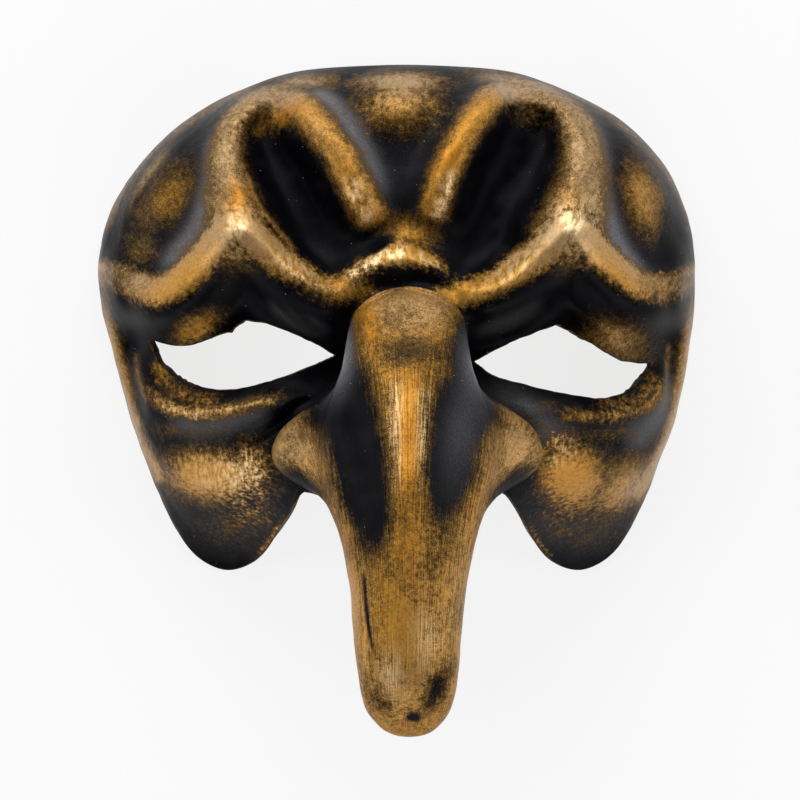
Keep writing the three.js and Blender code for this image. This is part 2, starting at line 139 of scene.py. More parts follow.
PEAK_RIGHT = [(33, 83.5), (41, 81.5), (47, 77), (50, 69), (50.3, 60), (48.3, 51), (45.5, 43.5)]
RIDGES = [
    line(V_LEFT, 7.4, (0.12, 0.22), power=2.6, rise=9.0),
    line(V_RIGHT, 6.6, (0.12, 0.25), power=2.6, rise=9.0),
    line(PEAK_LEFT, 5.6, (0.1, 0), widen=8.0, power=2.6, rise=8.5),
    line(PEAK_RIGHT, 6.0, (0.1, 0), widen=8.0, power=2.6, rise=8.5),
]

# Bags under the eyes
BAG_LEFT = [
    (-75.5, 11), (-75, 3), (-71.5, -3.5), (-63.5, -7.5), (-53, -7.8), (-43, -5.8), (-33, -2.5), (-24.5, 1),
]
BAG_RIGHT = [(75.5, 10), (75, 1.5), (71, -5), (61.5, -8.6), (50, -8.8), (39.5, -6.5), (29.5, -3), (22.5, 0)]
BAGS = [
    line(BAG_LEFT, 3.2, (0.12, 0.35), rise=3.6),
    line(BAG_RIGHT, 3.2, (0.12, 0.35), rise=3.6),
]

# Folds that run from the wings of the nose out under the eyes, and the crease below each
FOLDS = [
    line([(-52.7, -14.7), (-47.1, -12.7), (-40.7, -10.2), (-33.1, -6.5), (-26.7, -2.6)], 2.0, (0.3, 0.1),
         rise=1.5),
    line([(-46, -17.5), (-40, -14.6), (-34.5, -10.6), (-30, -5.9), (-26.5, -3.9)], 1.3, (0.35, 0.1),
         rise=-1.8),
    line([(29, -3.5), (36, -8.5), (43, -14), (49, -17)], 2.4, (0.15, 0.4), rise=1.0),
    line([(-78.6, 12.5), (-77.6, 4.5), (-75.2, -2.8), (-71.4, -8.7), (-66, -12.5)], 1.8, (0.2, 0.35),
         rise=1.5),
    line([(77.7, 16.5), (77.1, 6.6), (75.1, -3.4), (70.1, -13.1)], 1.8, (0.3, 0.35), rise=1.5),
    line([(-17, 12), (-15.5, 19.5), (-9, 26.5), (1.2, 29), (11.5, 26.5), (18, 19.5), (19.5, 12)], 2.6,
         rise=-4.0),
]

# Rounded bumps, and hollows with a negative rise
BUMPS = {
    "crown": patch((-0.5, 80), (13, 11), rise=7.5),
    "temple_left": patch((-67.5, 58), (14.5, 9.5), 55, rise=7.0),
    "temple_right": patch((69.5, 55), (15.5, 9), 100, rise=6.5),
    "furrow_left": patch((-31, 54), (22, 9.5), -62, power=3, rise=-6.0),
    "furrow_right": patch((30, 54), (23, 10.5), 62, power=3, rise=-6.0),
    "lid_left": patch((-60, 16), (12, 6), -22, rise=3.2),
    "lid_right": patch((61, 13.5), (12, 6), 12, rise=3.2),
    "cheek_left": patch((-52, -26), (20, 12), 8, rise=7.0),
    "cheek_right": patch((50, -25), (21, 13), -10, rise=7.0),
    "cheek_hollow_left": patch((-54, -15), (26, 5), rise=-3.5),
    "cheek_hollow_right": patch((56, -16), (26, 5), -4, rise=-3.5),
    "side_groove_left": patch((-79.5, 6), (22, 3.4), 80, rise=-3.0),
    "side_groove_right": patch((79.5, 5), (22, 3.4), 98, rise=-3.0),
}

# The nose's raised back and the long hollow on each side of it
NOSE_BACK = line([(0, 16), (0, 4), (0, -20), (0, -56)], 5.6, (0.35, 0.5), rise=2.4)
NOSE_HOLLOWS = [
    line([(-17, 6), (-15.4, -10), (-12.6, -26), (-9, -50)], 5.0, (0.35, 0.5), rise=-3.4),
    line([(17, 6), (15.8, -10), (13, -25), (9.5, -46)], 5.0, (0.35, 0.5), rise=-3.4),
]

# Eye openings: upper lid from the inner corner to its peak, on to the outer corner, and the lower lid back.
# Each curve ends where the next one starts
EYE_LEFT = [
    [(-19.3, 8.2), (-28.7, 12.9), (-38.6, 16.9)],
    [(-44.2, 18), (-48.8, 15.3), (-54.5, 12.8), (-60.2, 11), (-66, 11.2)],
    [(-72.4, 12.9), (-70, 7.1), (-66.4, 3.7), (-61.8, 1.1), (-53, -0.9), (-44.3, -0.2), (-30, 3.8)],
]
EYE_RIGHT = [
    [(19.9, 6.5), (25, 9.2), (32.5, 12.4)],
    [(43.5, 16.9), (53.5, 11.5), (61.5, 7.2), (67.5, 6.2)],
    [(72.2, 6.3), (68.5, 2.1), (64, -1.5), (59.5, -3.1), (54, -3.5), (43.9, -1.8), (33.5, 0.6), (25.5, 2.9)],
]

# How finely the shell is divided
SPOKES = 480
FACE_RINGS = 100
NOSE_RINGS = 100
NOSE_CELL = 2
LINING_CELL = 4
NOSE_CROWDING = 0.6
NOSE_UPPER = (-3.0, 3.0)
FOOT_RISE = 0.1
PATH_STEP = 1.5
EYE_STEP = 0.8
ARC_SAMPLES = 240
RIM_CROWDING = 3
SPOKE_LAP = 3
SNAP = 0.25
EDGE_ROUND = 0.45
EDGE_ROWS = 6
EDGE_POWER = 4.0
LINING_SOFTENING = 14
CREASE_SOFTENING = 3
CREASE_DEPTH = (0.4, 1.6)
FACE_SOFTENING = 8
RIM_SOFTENING = 4
RIM_RINGS = 8
DRAW_REACH = 12.0
DRAW_WIDTH = 4 * EDGE_ROUND
LEAST_WALL = 1.3
UPRIGHT_RIM = (0.5, 5.0)

# Unevenness of the hand-laid paper: how far it reaches, over what distance
HILLS = [{"reach": 0.28, "size": 11.0, "seed": 3}, {"reach": 0.1, "size": 3.6, "seed": 4}]
HILLS_FADE = 6
PATCHY_CELLS = 97
RAGGED = {"reach": 0.16, "size": 1.7, "seed": 5}
NICK = {"at": (-48.6, 15.2), "size": 0.9, "reach": -0.8}

TURN = 2 * math.pi
OUTSIDE, EDGE, LINING = range(3)


def smooth(low, high, value):
    t = np.clip((value - low) / (high - low), 0, 1)
    return t * t * (3 - 2 * t)


def spline(knots, rows, at):
    """Cubic curve through rows of numbers at rising knots."""
    k = np.asarray(knots, float)
    v = np.asarray(rows, float)
    i = np.clip(np.searchsorted(k, at, side="right") - 1, 0, len(k) - 2)
    before = np.maximum(i - 1, 0)
    after = np.minimum(i + 2, len(k) - 1)
    wide = (...,) + (None,) * (v.ndim - 1)
    span = (k[i + 1] - k[i])[wide]
    s = ((at - k[i]) / (k[i + 1] - k[i]))[wide]
    start = (v[i + 1] - v[before]) / (k[i + 1] - k[before])[wide]
    end = (v[after] - v[i]) / (k[after] - k[i])[wide]
    blend = 3 * s**2 - 2 * s**3
    ease_in = s**3 - 2 * s**2 + s
    ease_out = s**3 - s**2
    return (1 - blend) * v[i] + blend * v[i + 1] + span * (ease_in * start + ease_out * end)


def run_of(points):
    """Distances along a line of points, from its first."""
    steps = np.linalg.norm(np.diff(np.asarray(points, float), axis=0), axis=1)
    return np.concatenate([[0], np.cumsum(steps)])


def curve_points(path, step):
    run = run_of(path)
    steps = max(2, int(run[-1] / step))
    return spline(run, path, np.linspace(0, run[-1], steps + 1))


def nearest_on(curve, x, y):
    """Distance to a curve, how far along it the nearest point lies, and that point."""
    nearest = np.full(np.shape(x), np.inf)
    share = np.zeros(np.shape(x))
    px = np.zeros(np.shape(x))
    py = np.zeros(np.shape(x))
    for i, ((ax, ay), (bx, by)) in enumerate(zip(curve[:-1], curve[1:])):
        dx, dy = bx - ax, by - ay
        t = np.clip(((x - ax) * dx + (y - ay) * dy) / (dx * dx + dy * dy), 0, 1)
        qx, qy = ax + t * dx, ay + t * dy
        distance = np.hypot(x - qx, y - qy)
        closer = distance < nearest
        nearest = np.where(closer, distance, nearest)
        share = np.where(closer, (i + t) / (len(curve) - 1), share)
        px = np.where(closer, qx, px)
        py = np.where(closer, qy, py)
    return nearest, share, px, py


def stroke(row, x, y):
    """Height from 0 to 1 of a rounded ridge along a path, which can widen and fades towards its two ends."""
    nearest, share, _, _ = nearest_on(curve_points(row["path"], PATH_STEP), x, y)
    start, end = row["fade"]
    width = row["width"] + row.get("widen", 0) * share**2
    height = np.exp(-((nearest / width) ** row.get("power", 2)))
    if start:
        height = height * smooth(0, start, share)
    if end:
        height = height * smooth(0, end, 1 - share)
    return height


def bump(row, x, y):
    angle = math.radians(row["turn"])
    dx, dy = x - row["at"][0], y - row["at"][1]
    along = dx * math.cos(angle) + dy * math.sin(angle)
    across = dy * math.cos(angle) - dx * math.sin(angle)
    apart = np.hypot(along / row["half"][0], across / row["half"][1])
    return np.exp(-(apart ** row.get("power", 2)))


def outline_radius(angle):
    """Distance from the centre to the outline in one direction."""
    c, s = np.abs(np.cos(angle)), np.sin(angle)

    def reach(height, power):
        return ((c / HALF_WIDTH) ** power + (np.abs(s) / height) ** power) ** (-1 / power)

    return np.where(s > 0, reach(CROWN["height"], CROWN["power"]), reach(CHEEK["height"], CHEEK["power"]))


def outline_share(x, y):
    radius = outline_radius(np.arctan2(y - WIDEST_Y, x))
    return np.minimum(np.hypot(x, y - WIDEST_Y) / radius, 1)


def dome_height(x, y):
    """The bare shell: upright at the outline, and drawn back towards the lobes."""
    rise = (1 - outline_share(x, y) ** DOME_POWER) ** (1 / DOME_POWER)
    down = smooth(TUCK["from_y"], TUCK["to_y"], y)
    out = smooth(TUCK["from_x"], TUCK["to_x"], np.abs(x))
    return DOME_DEPTH * rise * (1 - TUCK["share"] * down * out)


def above_brow(x, y):
    """Distance above the brow's wave, negative below it."""
    wave = np.array(BROW_WAVE, float)
    height = y - spline(wave[:, 0], wave[:, 1], x)
    return np.sign(height) * nearest_on(curve_points(BROW_WAVE, PATH_STEP), x, y)[0]


def carving(x, y):
    d = above_brow(x, y) - BROW["middle"]
    above, below = (np.exp(-((np.abs(d) / row["width"]) ** row["power"])) for row in (BROW_ABOVE, BROW_BELOW))
    rises = [BROW["rise"] * np.where(d > 0, above, below)]
    rises += [row["rise"] * stroke(row, x, y) for row in RIDGES]
    height = sum(rise ** BROW["join"] for rise in rises) ** (1 / BROW["join"])
    socket = 1 - smooth(SOCKET["to_brow"], SOCKET["from_brow"], above_brow(x, y))
    height = height - SOCKET["depth"] * socket * smooth(SOCKET["to_y"], SOCKET["from_y"], y)
    for row in BAGS + FOLDS:
        height = height + row["rise"] * stroke(row, x, y)
    for row in BUMPS.values():
        height = height + row["rise"] * bump(row, x, y)
    return height


def face_height(x, y):
    """The carving dies out towards the rim, so that the rim keeps its outline."""
    return dome_height(x, y) + (1 - smooth(RIM_FADE, 1, outline_share(x, y))) * carving(x, y)


def cut_crown(y):
    """The flat cut across the crown, with rounded corners."""
    return CROWN["cut_y"] - CROWN["cut_round"] * np.log1p(np.exp((CROWN["cut_y"] - y) / CROWN["cut_round"]))


def make_spokes():
    """Evenly spaced spokes round the mask: their feet on the nose and their ends on the edge."""
    left = [((-foot[0], foot[1]), (-edge[0], edge[1])) for foot, edge in LINES[-2:0:-1]]
    lines = LINES + left
    feet = np.array([foot for foot, _ in lines], float) + [NOSE_X, 0]
    edges = np.array([edge for _, edge in lines], float)
    run = run_of(np.concatenate([edges, edges[:1]]))
    length = run[-1]
    angle = np.arctan2(edges[:, 1] - WIDEST_Y, edges[:, 0])
    share = np.hypot(edges[:, 0], edges[:, 1] - WIDEST_Y) / outline_radius(angle)
    share = np.where((edges[:, 1] > LOBE_Y) & (share > RIM_JOIN), 1, share)
    turned = np.unwrap(angle) + TURN * run[:-1] / length
    rows = np.column_stack([feet, turned, share])
    rows = np.concatenate([rows[-SPOKE_LAP:], rows, rows[:SPOKE_LAP]])
    knots = np.concatenate([run[-SPOKE_LAP - 1 : -1] - length, run[:-1], run[:SPOKE_LAP] + length])
    at = np.arange(SPOKES) / SPOKES * length
    foot_x, foot_y, turned, share = spline(knots, rows, at).T
    angle = turned - TURN * at / length
    radius = np.minimum(share, 1) * outline_radius(angle)
    end_y = cut_crown(WIDEST_Y + radius * np.sin(angle))
    return np.stack([foot_x, foot_y], 1), np.stack([radius * np.cos(angle), end_y], 1)


def make_face_rings(feet, ends):
    """Points in the plane on every spoke, evenly spaced along the dome's curve, from foot to edge."""
    share = 1 - (1 - np.linspace(0, 1, ARC_SAMPLES + 1)) ** RIM_CROWDING
    x = feet[:, :1] + (ends[:, :1] - feet[:, :1]) * share
    y = feet[:, 1:] + (ends[:, 1:] - feet[:, 1:]) * share
    steps = np.sqrt(np.diff(x) ** 2 + np.diff(y) ** 2 + np.diff(dome_height(x, y)) ** 2)
    run = np.concatenate([np.zeros((SPOKES, 1)), np.cumsum(steps, 1)], 1)
    even = np.linspace(0, 1, FACE_RINGS + 1)
    taken = np.stack([np.interp(even * row[-1], row, share) for row in run], 1)
    return feet[:, 0] + (ends[:, 0] - feet[:, 0]) * taken, feet[:, 1] + (ends[:, 1] - feet[:, 1]) * taken


def nose_run():
    """Distances along the nose from its root to each section."""
    rows = np.array(SECTIONS, float)
    return run_of(np.stack([(rows[:, 0] + rows[:, 2]) / 2, (rows[:, 1] + rows[:, 3]) / 2, rows[:, 4] / 2], 1))


def make_nose_rings(feet, foot_z):
    """Rings of the nose from its foot to the tip; the foot's own shape turns into an ellipse."""
    rows = np.array(SECTIONS, float)
    run = nose_run()
    even = np.linspace(0, 1, NOSE_RINGS + 1)
    at = run[-1] * (even - NOSE_CROWDING * np.sin(TURN * even) / TURN)
    top_y, top_z, bottom_y, bottom_z, half, round_share = spline(run, rows, at).T[:, :, None]
    across = (feet[:, 0] - NOSE_X) / rows[0, 4]
    up = 2 * (feet[:, 1] - rows[0, 2]) / (rows[0, 0] - rows[0, 2]) - 1
    angle = np.arctan2(up, across)
    a = across * (1 - round_share) + np.cos(angle) * round_share
    b = (up * (1 - round_share) + np.sin(angle) * round_share + 1) / 2
    lead = smooth(0, run[LEAD_SECTION], at)[:, None]
    x = NOSE_X + half * a
    y = bottom_y + (top_y - bottom_y) * b
    z = foot_z * (1 - lead) + (bottom_z + (top_z - bottom_z) * b) * lead
    z = np.where((up > 0) & (lead < 1), np.maximum(z, foot_z + FOOT_RISE * at[:, None]), z)
    amount = smooth(0, run[PRESS_SECTION], at)[:, None]
    upper = smooth(*NOSE_UPPER, z - z.mean(1, keepdims=True))
    for row in [NOSE_BACK, *NOSE_HOLLOWS]:
        z = z + row["rise"] * amount * upper * stroke(row, x - NOSE_X, y)
    return np.stack([x, y, z], 2), at


def patchy(x, y, size, seed):
    """Smooth random hills from -1 to 1, about as wide as the given size."""
    table = np.random.default_rng(seed).uniform(-1, 1, (PATCHY_CELLS, PATCHY_CELLS))
    u, v = np.asarray(x) / size + PATCHY_CELLS, np.asarray(y) / size + PATCHY_CELLS
    i, j = np.floor(u).astype(int), np.floor(v).astype(int)
    s, t = smooth(0, 1, u - i), smooth(0, 1, v - j)

    def corner(di, dj):
        return table[(i + di) % PATCHY_CELLS, (j + dj) % PATCHY_CELLS]

    low = corner(0, 0) * (1 - s) + corner(1, 0) * s
    high = corner(0, 1) * (1 - s) + corner(1, 1) * s
    return low * (1 - t) + high * t


def eye_outline(curves):
    """The opening's outline, a little ragged where the knife tore the paper, with one larger nick."""
    closed = [curve + after[:1] for curve, after in zip(curves, curves[1:] + curves[:1])]
    points = np.concatenate([curve_points(curve, EYE_STEP)[:-1] for curve in closed])
    along = np.roll(points, -1, 0) - np.roll(points, 1, 0)
    out = np.stack([along[:, 1], -along[:, 0]], 1) / np.linalg.norm(along, axis=1, keepdims=True)
    ragged = RAGGED["reach"] * patchy(points[:, 0], points[:, 1], RAGGED["size"], RAGGED["seed"])
    near = np.linalg.norm(points - NICK["at"], axis=1) / NICK["size"]
    points = points + out * (ragged + NICK["reach"] * np.exp(-(near**2)))[:, None]
    return np.concatenate([points, points[:1]])


def inside(outline, x, y):
    crossings = np.zeros(np.shape(x), int)
    for (ax, ay), (bx, by) in zip(outline[:-1], outline[1:]):
        spans = (ay > y) != (by > y)
        rise = by - ay if by != ay else 1
        crossings += spans & (x < ax + (y - ay) * (bx - ax) / rise)
    return crossings % 2 == 1


def cut_eyes(x, y):
    """How deep each point lies in an eye opening. Points close to an opening's edge are moved onto it."""
    depth = np.full(np.shape(x), -np.inf)
    for curves in (EYE_LEFT, EYE_RIGHT):
        outline = eye_outline(curves)
        nearest, _, qx, qy = nearest_on(outline, x, y)
        signed = np.where(inside(outline, x, y), nearest, -nearest) + EDGE_ROUND
        close = np.abs(signed) < SNAP
        scale = EDGE_ROUND / np.maximum(nearest, EDGE_ROUND - SNAP)
        x = np.where(close, qx + (x - qx) * scale, x)
        y = np.where(close, qy + (y - qy) * scale, y)
        depth = np.maximum(depth, np.where(close, 0, signed))
    return depth, x, y


def bulge(x, y):
    """How far the temples move sideways."""
    near = np.exp(-(((y - TEMPLE_BULGE["y"]) / TEMPLE_BULGE["spread"]) ** 2))
    return TEMPLE_BULGE["reach"] * near * smooth(TEMPLE_BULGE["from_x"], TEMPLE_BULGE["full_x"], np.abs(x))


def grid_normals(grid):
    around = np.roll(grid, -1, 1) - np.roll(grid, 1, 1)
    out = np.empty_like(grid)
    out[1:-1] = grid[2:] - grid[:-2]
    out[0] = grid[1] - grid[0]
    out[-1] = grid[-1] - grid[-2]
    normal = np.cross(around, out)
    return normal / np.maximum(np.linalg.norm(normal, axis=2, keepdims=True), 1e-9)


def soften(grid, times):
    """Evens the grid out by moving each point towards its neighbours; the rim moves only along itself."""
    for _ in range(times):
        beside = np.roll(grid, 1, 1) + np.roll(grid, -1, 1)
        middle = (grid[1:-1] + (grid[2:] + grid[:-2] + beside[1:-1]) / 4) / 2
        rim = (3 * grid[-1:] + beside[-1:] / 2) / 4
        grid = np.concatenate([grid[:1], middle, rim])
    return grid


def unevenness(grid):
    """Small hills over the whole outside, none at the nose's foot, its tip and the rim."""
    ring = np.arange(len(grid))[:, None]
    steps = np.minimum(np.minimum(ring, np.abs(ring - NOSE_RINGS)), len(grid) - 1 - ring)
    x, y = grid[..., 0] + grid[..., 2], grid[..., 1]
    hills = sum(row["reach"] * patchy(x, y, row["size"], row["seed"]) for row in HILLS)
    return hills * smooth(0, HILLS_FADE, steps)


def rim_away(grid):
    """For each spoke, the direction that leads off the skin at the rim."""
    away = grid[-1] - grid[-4]
    away /= np.linalg.norm(away, axis=1, keepdims=True)
    for _ in range(RIM_SOFTENING):
        away = (2 * away + np.roll(away, 1, 0) + np.roll(away, -1, 0)) / 4
    along = np.roll(grid[-1], -1, 0) - np.roll(grid[-1], 1, 0)
    along /= np.linalg.norm(along, axis=1, keepdims=True)
    away -= along * (away * along).sum(1, keepdims=True)
    return away / np.linalg.norm(away, axis=1, keepdims=True)


def draw_in(grid, away):
    """Draws the rim in to make room for its rounding, and the skin near it ever less."""
    steps = np.linalg.norm(np.diff(grid, axis=0), axis=2)
    run = np.concatenate([np.cumsum(steps[::-1], 0)[::-1], np.zeros((1, SPOKES))])
    distance = ((grid[-1] - grid) * away).sum(2)
    share = np.clip(1 - distance / DRAW_WIDTH, 0, 1) ** 2 * (run < DRAW_REACH)
    return grid - away * (share * EDGE_ROUND)[..., None]


def make_outside():
    """Rings of points from the nose's tip to the rim, their depth in an eye opening, and the nose's run."""
    feet, ends = make_spokes()
    x, y = make_face_rings(feet, ends)
    depth, x, y = cut_eyes(x, y)
    face = np.stack([x, y, face_height(x, y)], 2)
    face[..., 2] = soften(face, FACE_SOFTENING)[..., 2]
    nose, at = make_nose_rings(feet, face[0, :, 2])
    outside = np.concatenate([nose[:0:-1], face])
    depth = np.concatenate([np.full(nose[:0:-1].shape[:2], -np.inf), depth])
    outside = outside + grid_normals(outside) * unevenness(outside)[..., None]
    outside[..., 0] += bulge(outside[..., 0], outside[..., 1])
    return draw_in(outside, rim_away(outside)), depth, at[:0:-1]


def make_lining(outside):
    """A softer copy of the outside, a wall's thickness inside it, and not past the rim as seen from above."""
    soft = soften(outside, LINING_SOFTENING)
    sunk = ((soft - outside) * grid_normals(soft)).sum(2, keepdims=True)
    soft += (soften(outside, CREASE_SOFTENING) - soft) * smooth(*CREASE_DEPTH, sunk)
    normals = grid_normals(soft)
    around = np.roll(outside[-1], -1, 0) - np.roll(outside[-1], 1, 0)
    across = np.stack([-around[:, 1], around[:, 0], 0 * around[:, 0]], 1)
    across /= np.linalg.norm(across, axis=1, keepdims=True)
    for step in range(1, RIM_RINGS + 1):
        lean = np.maximum(-(normals[-step] * across).sum(1, keepdims=True), 0)
        raised = lean * smooth(*UPRIGHT_RIM, outside[-1, :, 2:]) * [0, 0, 1]
        normals[-step] += (across * lean + raised) * (1 - (step - 1) / RIM_RINGS)
    normals[-1, :, 2] *= smooth(*UPRIGHT_RIM, outside[-1, :, 2])
    normals /= np.linalg.norm(normals, axis=2, keepdims=True)
    wall = ((outside - soft) * normals).sum(2) + WALL
    return soft - normals * (WALL + np.maximum(LEAST_WALL - wall, 0))[..., None]


def block(r0, r1, s0, s1):
    """The grid points round a block of cells, so that the outside faces out."""
    def point(ring, spoke):
        return ring * SPOKES + spoke % SPOKES

    walk = [point(r0, s) for s in range(s0, s1)]
    walk += [point(r, s1) for r in range(r0, r1)]
    walk += [point(r1, s) for s in range(s1, s0, -1)]
    walk += [point(r, s0) for r in range(r1, r0, -1)]
    corners = {point(r0, s0), point(r0, s1), point(r1, s0), point(r1, s1)}
    return walk, corners


class Cutter:
    """Cuts polygons along the eye openings' edges, and keeps the points that the cuts add."""

    def __init__(self, depth):
        self.depth = depth.ravel()
        self.added = {}
        self.count = len(self.depth)

    def crossing(self, a, b):
        key = (min(a, b), max(a, b))
        if key not in self.added:
            self.added[key] = self.count + len(self.added)
        return self.added[key]

    def cut(self, polygon):
        kept = []
        for a, b in zip(polygon, polygon[1:] + polygon[:1]):
            if self.depth[a] <= 0:
                kept.append(a)
            if self.depth[a] * self.depth[b] < 0:
                kept.append(self.crossing(a, b))
        return kept

    def touches(self, polygon):
        return max(self.depth[i] for i in polygon) > 0

    def kept_part(self, polygon):
        if not self.touches(polygon):
            return polygon
        return self.cut(polygon) if min(self.depth[i] for i in polygon) < 0 else []

    def extended(self, values):
        """Values for the grid's points and then for the added ones."""
        flat = values.reshape(self.count, -1)
        a, b = np.array(list(self.added)).T
        share = self.depth[a] / (self.depth[a] - self.depth[b])
        between = flat[a] + (flat[b] - flat[a]) * share[:, None]
        return np.concatenate([flat, between])


def outside_polygons(cutter):
    """Every cell of the face, and the nose's on half as many spokes."""
    polygons = []
    rings = NOSE_RINGS + FACE_RINGS
    for ring in range(NOSE_RINGS, rings):
        for spoke in range(SPOKES):
            walk, _ = block(ring, ring + 1, spoke, spoke + 1)
            polygons.append(cutter.kept_part(walk))
    for ring in range(NOSE_RINGS):
        for spoke in range(0, SPOKES, NOSE_CELL):
            walk, corners = block(ring, ring + 1, spoke, spoke + NOSE_CELL)
            on_foot = [i for i in walk if i in corners or i // SPOKES == NOSE_RINGS]
            polygons.append(on_foot)
    return [polygon for polygon in polygons if len(polygon) > 2]


def lining_polygons(cutter):
    """Blocks of two by two cells, and single cells where both skins have to share an edge."""
    fine = []
    blocks = []
    rings = NOSE_RINGS + FACE_RINGS
    for ring in range(NOSE_RINGS, rings, 2):
        for spoke in range(0, SPOKES, 2):
            cells = [block(r, r + 1, s, s + 1)[0] for r in (ring, ring + 1) for s in (spoke, spoke + 1)]
            if any(cutter.touches(cell) for cell in cells) or ring + 2 == rings:
                fine += [cutter.kept_part(cell) for cell in cells]
            else:
                blocks.append(block(ring, ring + 2, spoke, spoke + 2))
    for ring in range(0, NOSE_RINGS, 2):
        for spoke in range(0, SPOKES, LINING_CELL):
            blocks.append(block(ring, ring + 2, spoke, spoke + LINING_CELL))
    used = {i for polygon in fine for i in polygon}
    for _, corners in blocks:
        used |= corners
    coarse = [[i for i in walk if i in used] for walk, _ in blocks]
    return [polygon for polygon in fine + coarse if len(polygon) > 2]


def edges_once(polygons):
    """Directed edges that only one polygon has: the edge of the mask and of its openings."""
    directed = {(a, b) for polygon in polygons for a, b in zip(polygon, polygon[1:] + polygon[:1])}
    return [(a, b) for a, b in directed if (b, a) not in directed]


def edge_outward(points, normals, edges):
    """For each point on a cut edge, the direction that leads off the skin."""
    away = {}
    for a, b in sorted(edges):
        along = points[b] - points[a]
        for i in (a, b):
            away[i] = away.get(i, 0) + np.cross(along, normals[i])
    return {i: direction / np.linalg.norm(direction) for i, direction in away.items()}


def make_edge(outside, lining, away, edges):
    """Rows of points that round the cut edge from the outside to the lining, and the faces between them."""
    count = len(outside)
    added = []
    rows = {}
    for i, direction in away.items():
        start = 2 * count + len(added)
        rows[i] = [i, *range(start, start + EDGE_ROWS - 1), i + count]
        for row in range(1, EDGE_ROWS):
            share = (1 - math.cos(math.pi * row / EDGE_ROWS)) / 2
            out = EDGE_ROUND * (1 - abs(1 - 2 * share) ** EDGE_POWER) ** (1 / EDGE_POWER)
            added.append(outside[i] + (lining[i] - outside[i]) * share + direction * out)
    faces = [
        [rows[b][row], rows[a][row], rows[a][row + 1], rows[b][row + 1]]
        for a, b in edges
        for row in range(EDGE_ROWS)
    ]
    return np.array(added), faces


def make_shell(outside_grid, depth):
    """Points, faces and each face's material number."""
    cutter = Cutter(depth)
    skin = outside_polygons(cutter)
    inner = lining_polygons(cutter)
    outside = cutter.extended(outside_grid)
    lining = cutter.extended(make_lining(outside_grid))
    edges = edges_once(skin)
    away = edge_outward(outside, cutter.extended(grid_normals(outside_grid)), edges)
    rim_start = (NOSE_RINGS + FACE_RINGS) * SPOKES
    for spoke, direction in enumerate(rim_away(outside_grid)):
        away[rim_start + spoke] = direction
    edge_points, edge_faces = make_edge(outside, lining, away, edges)
    count = len(outside)
    points = np.concatenate([outside, lining, edge_points])
    faces = skin + edge_faces + [[i + count for i in reversed(face)] for face in inner]
    numbers = [OUTSIDE] * len(skin) + [EDGE] * len(edge_faces) + [LINING] * len(inner)
    points, faces, numbers = close_tip(points, faces, numbers, count)
    return points, faces, numbers, cutter


def close_tip(points, polygons, numbers, count):
    """A fan of triangles over the first ring of the outside and of the lining."""
    for start, step, number in ((0, NOSE_CELL, OUTSIDE), (count, LINING_CELL, LINING)):
        tip = len(points)
        ring = [start + spoke for spoke in range(0, SPOKES, step)]
        points = np.concatenate([points, points[ring].mean(0, keepdims=True)])
        fan = [[tip, b, a] for a, b in zip(ring, ring[1:] + ring[:1])]
        polygons += fan if number == OUTSIDE else [polygon[::-1] for polygon in fan]
        numbers += [number] * len(fan)
    return points, polygons, numbers


# Layers of the paint: the gold's thickness, how orange it is, its painted highlights, how dull tan it is and
# where it stands in for a sheen, how it crumbles and streaks, and a painted grey sheen on the black
LAYERS = ("gold", "warm", "pale", "tan", "crumble", "streak", "dust")

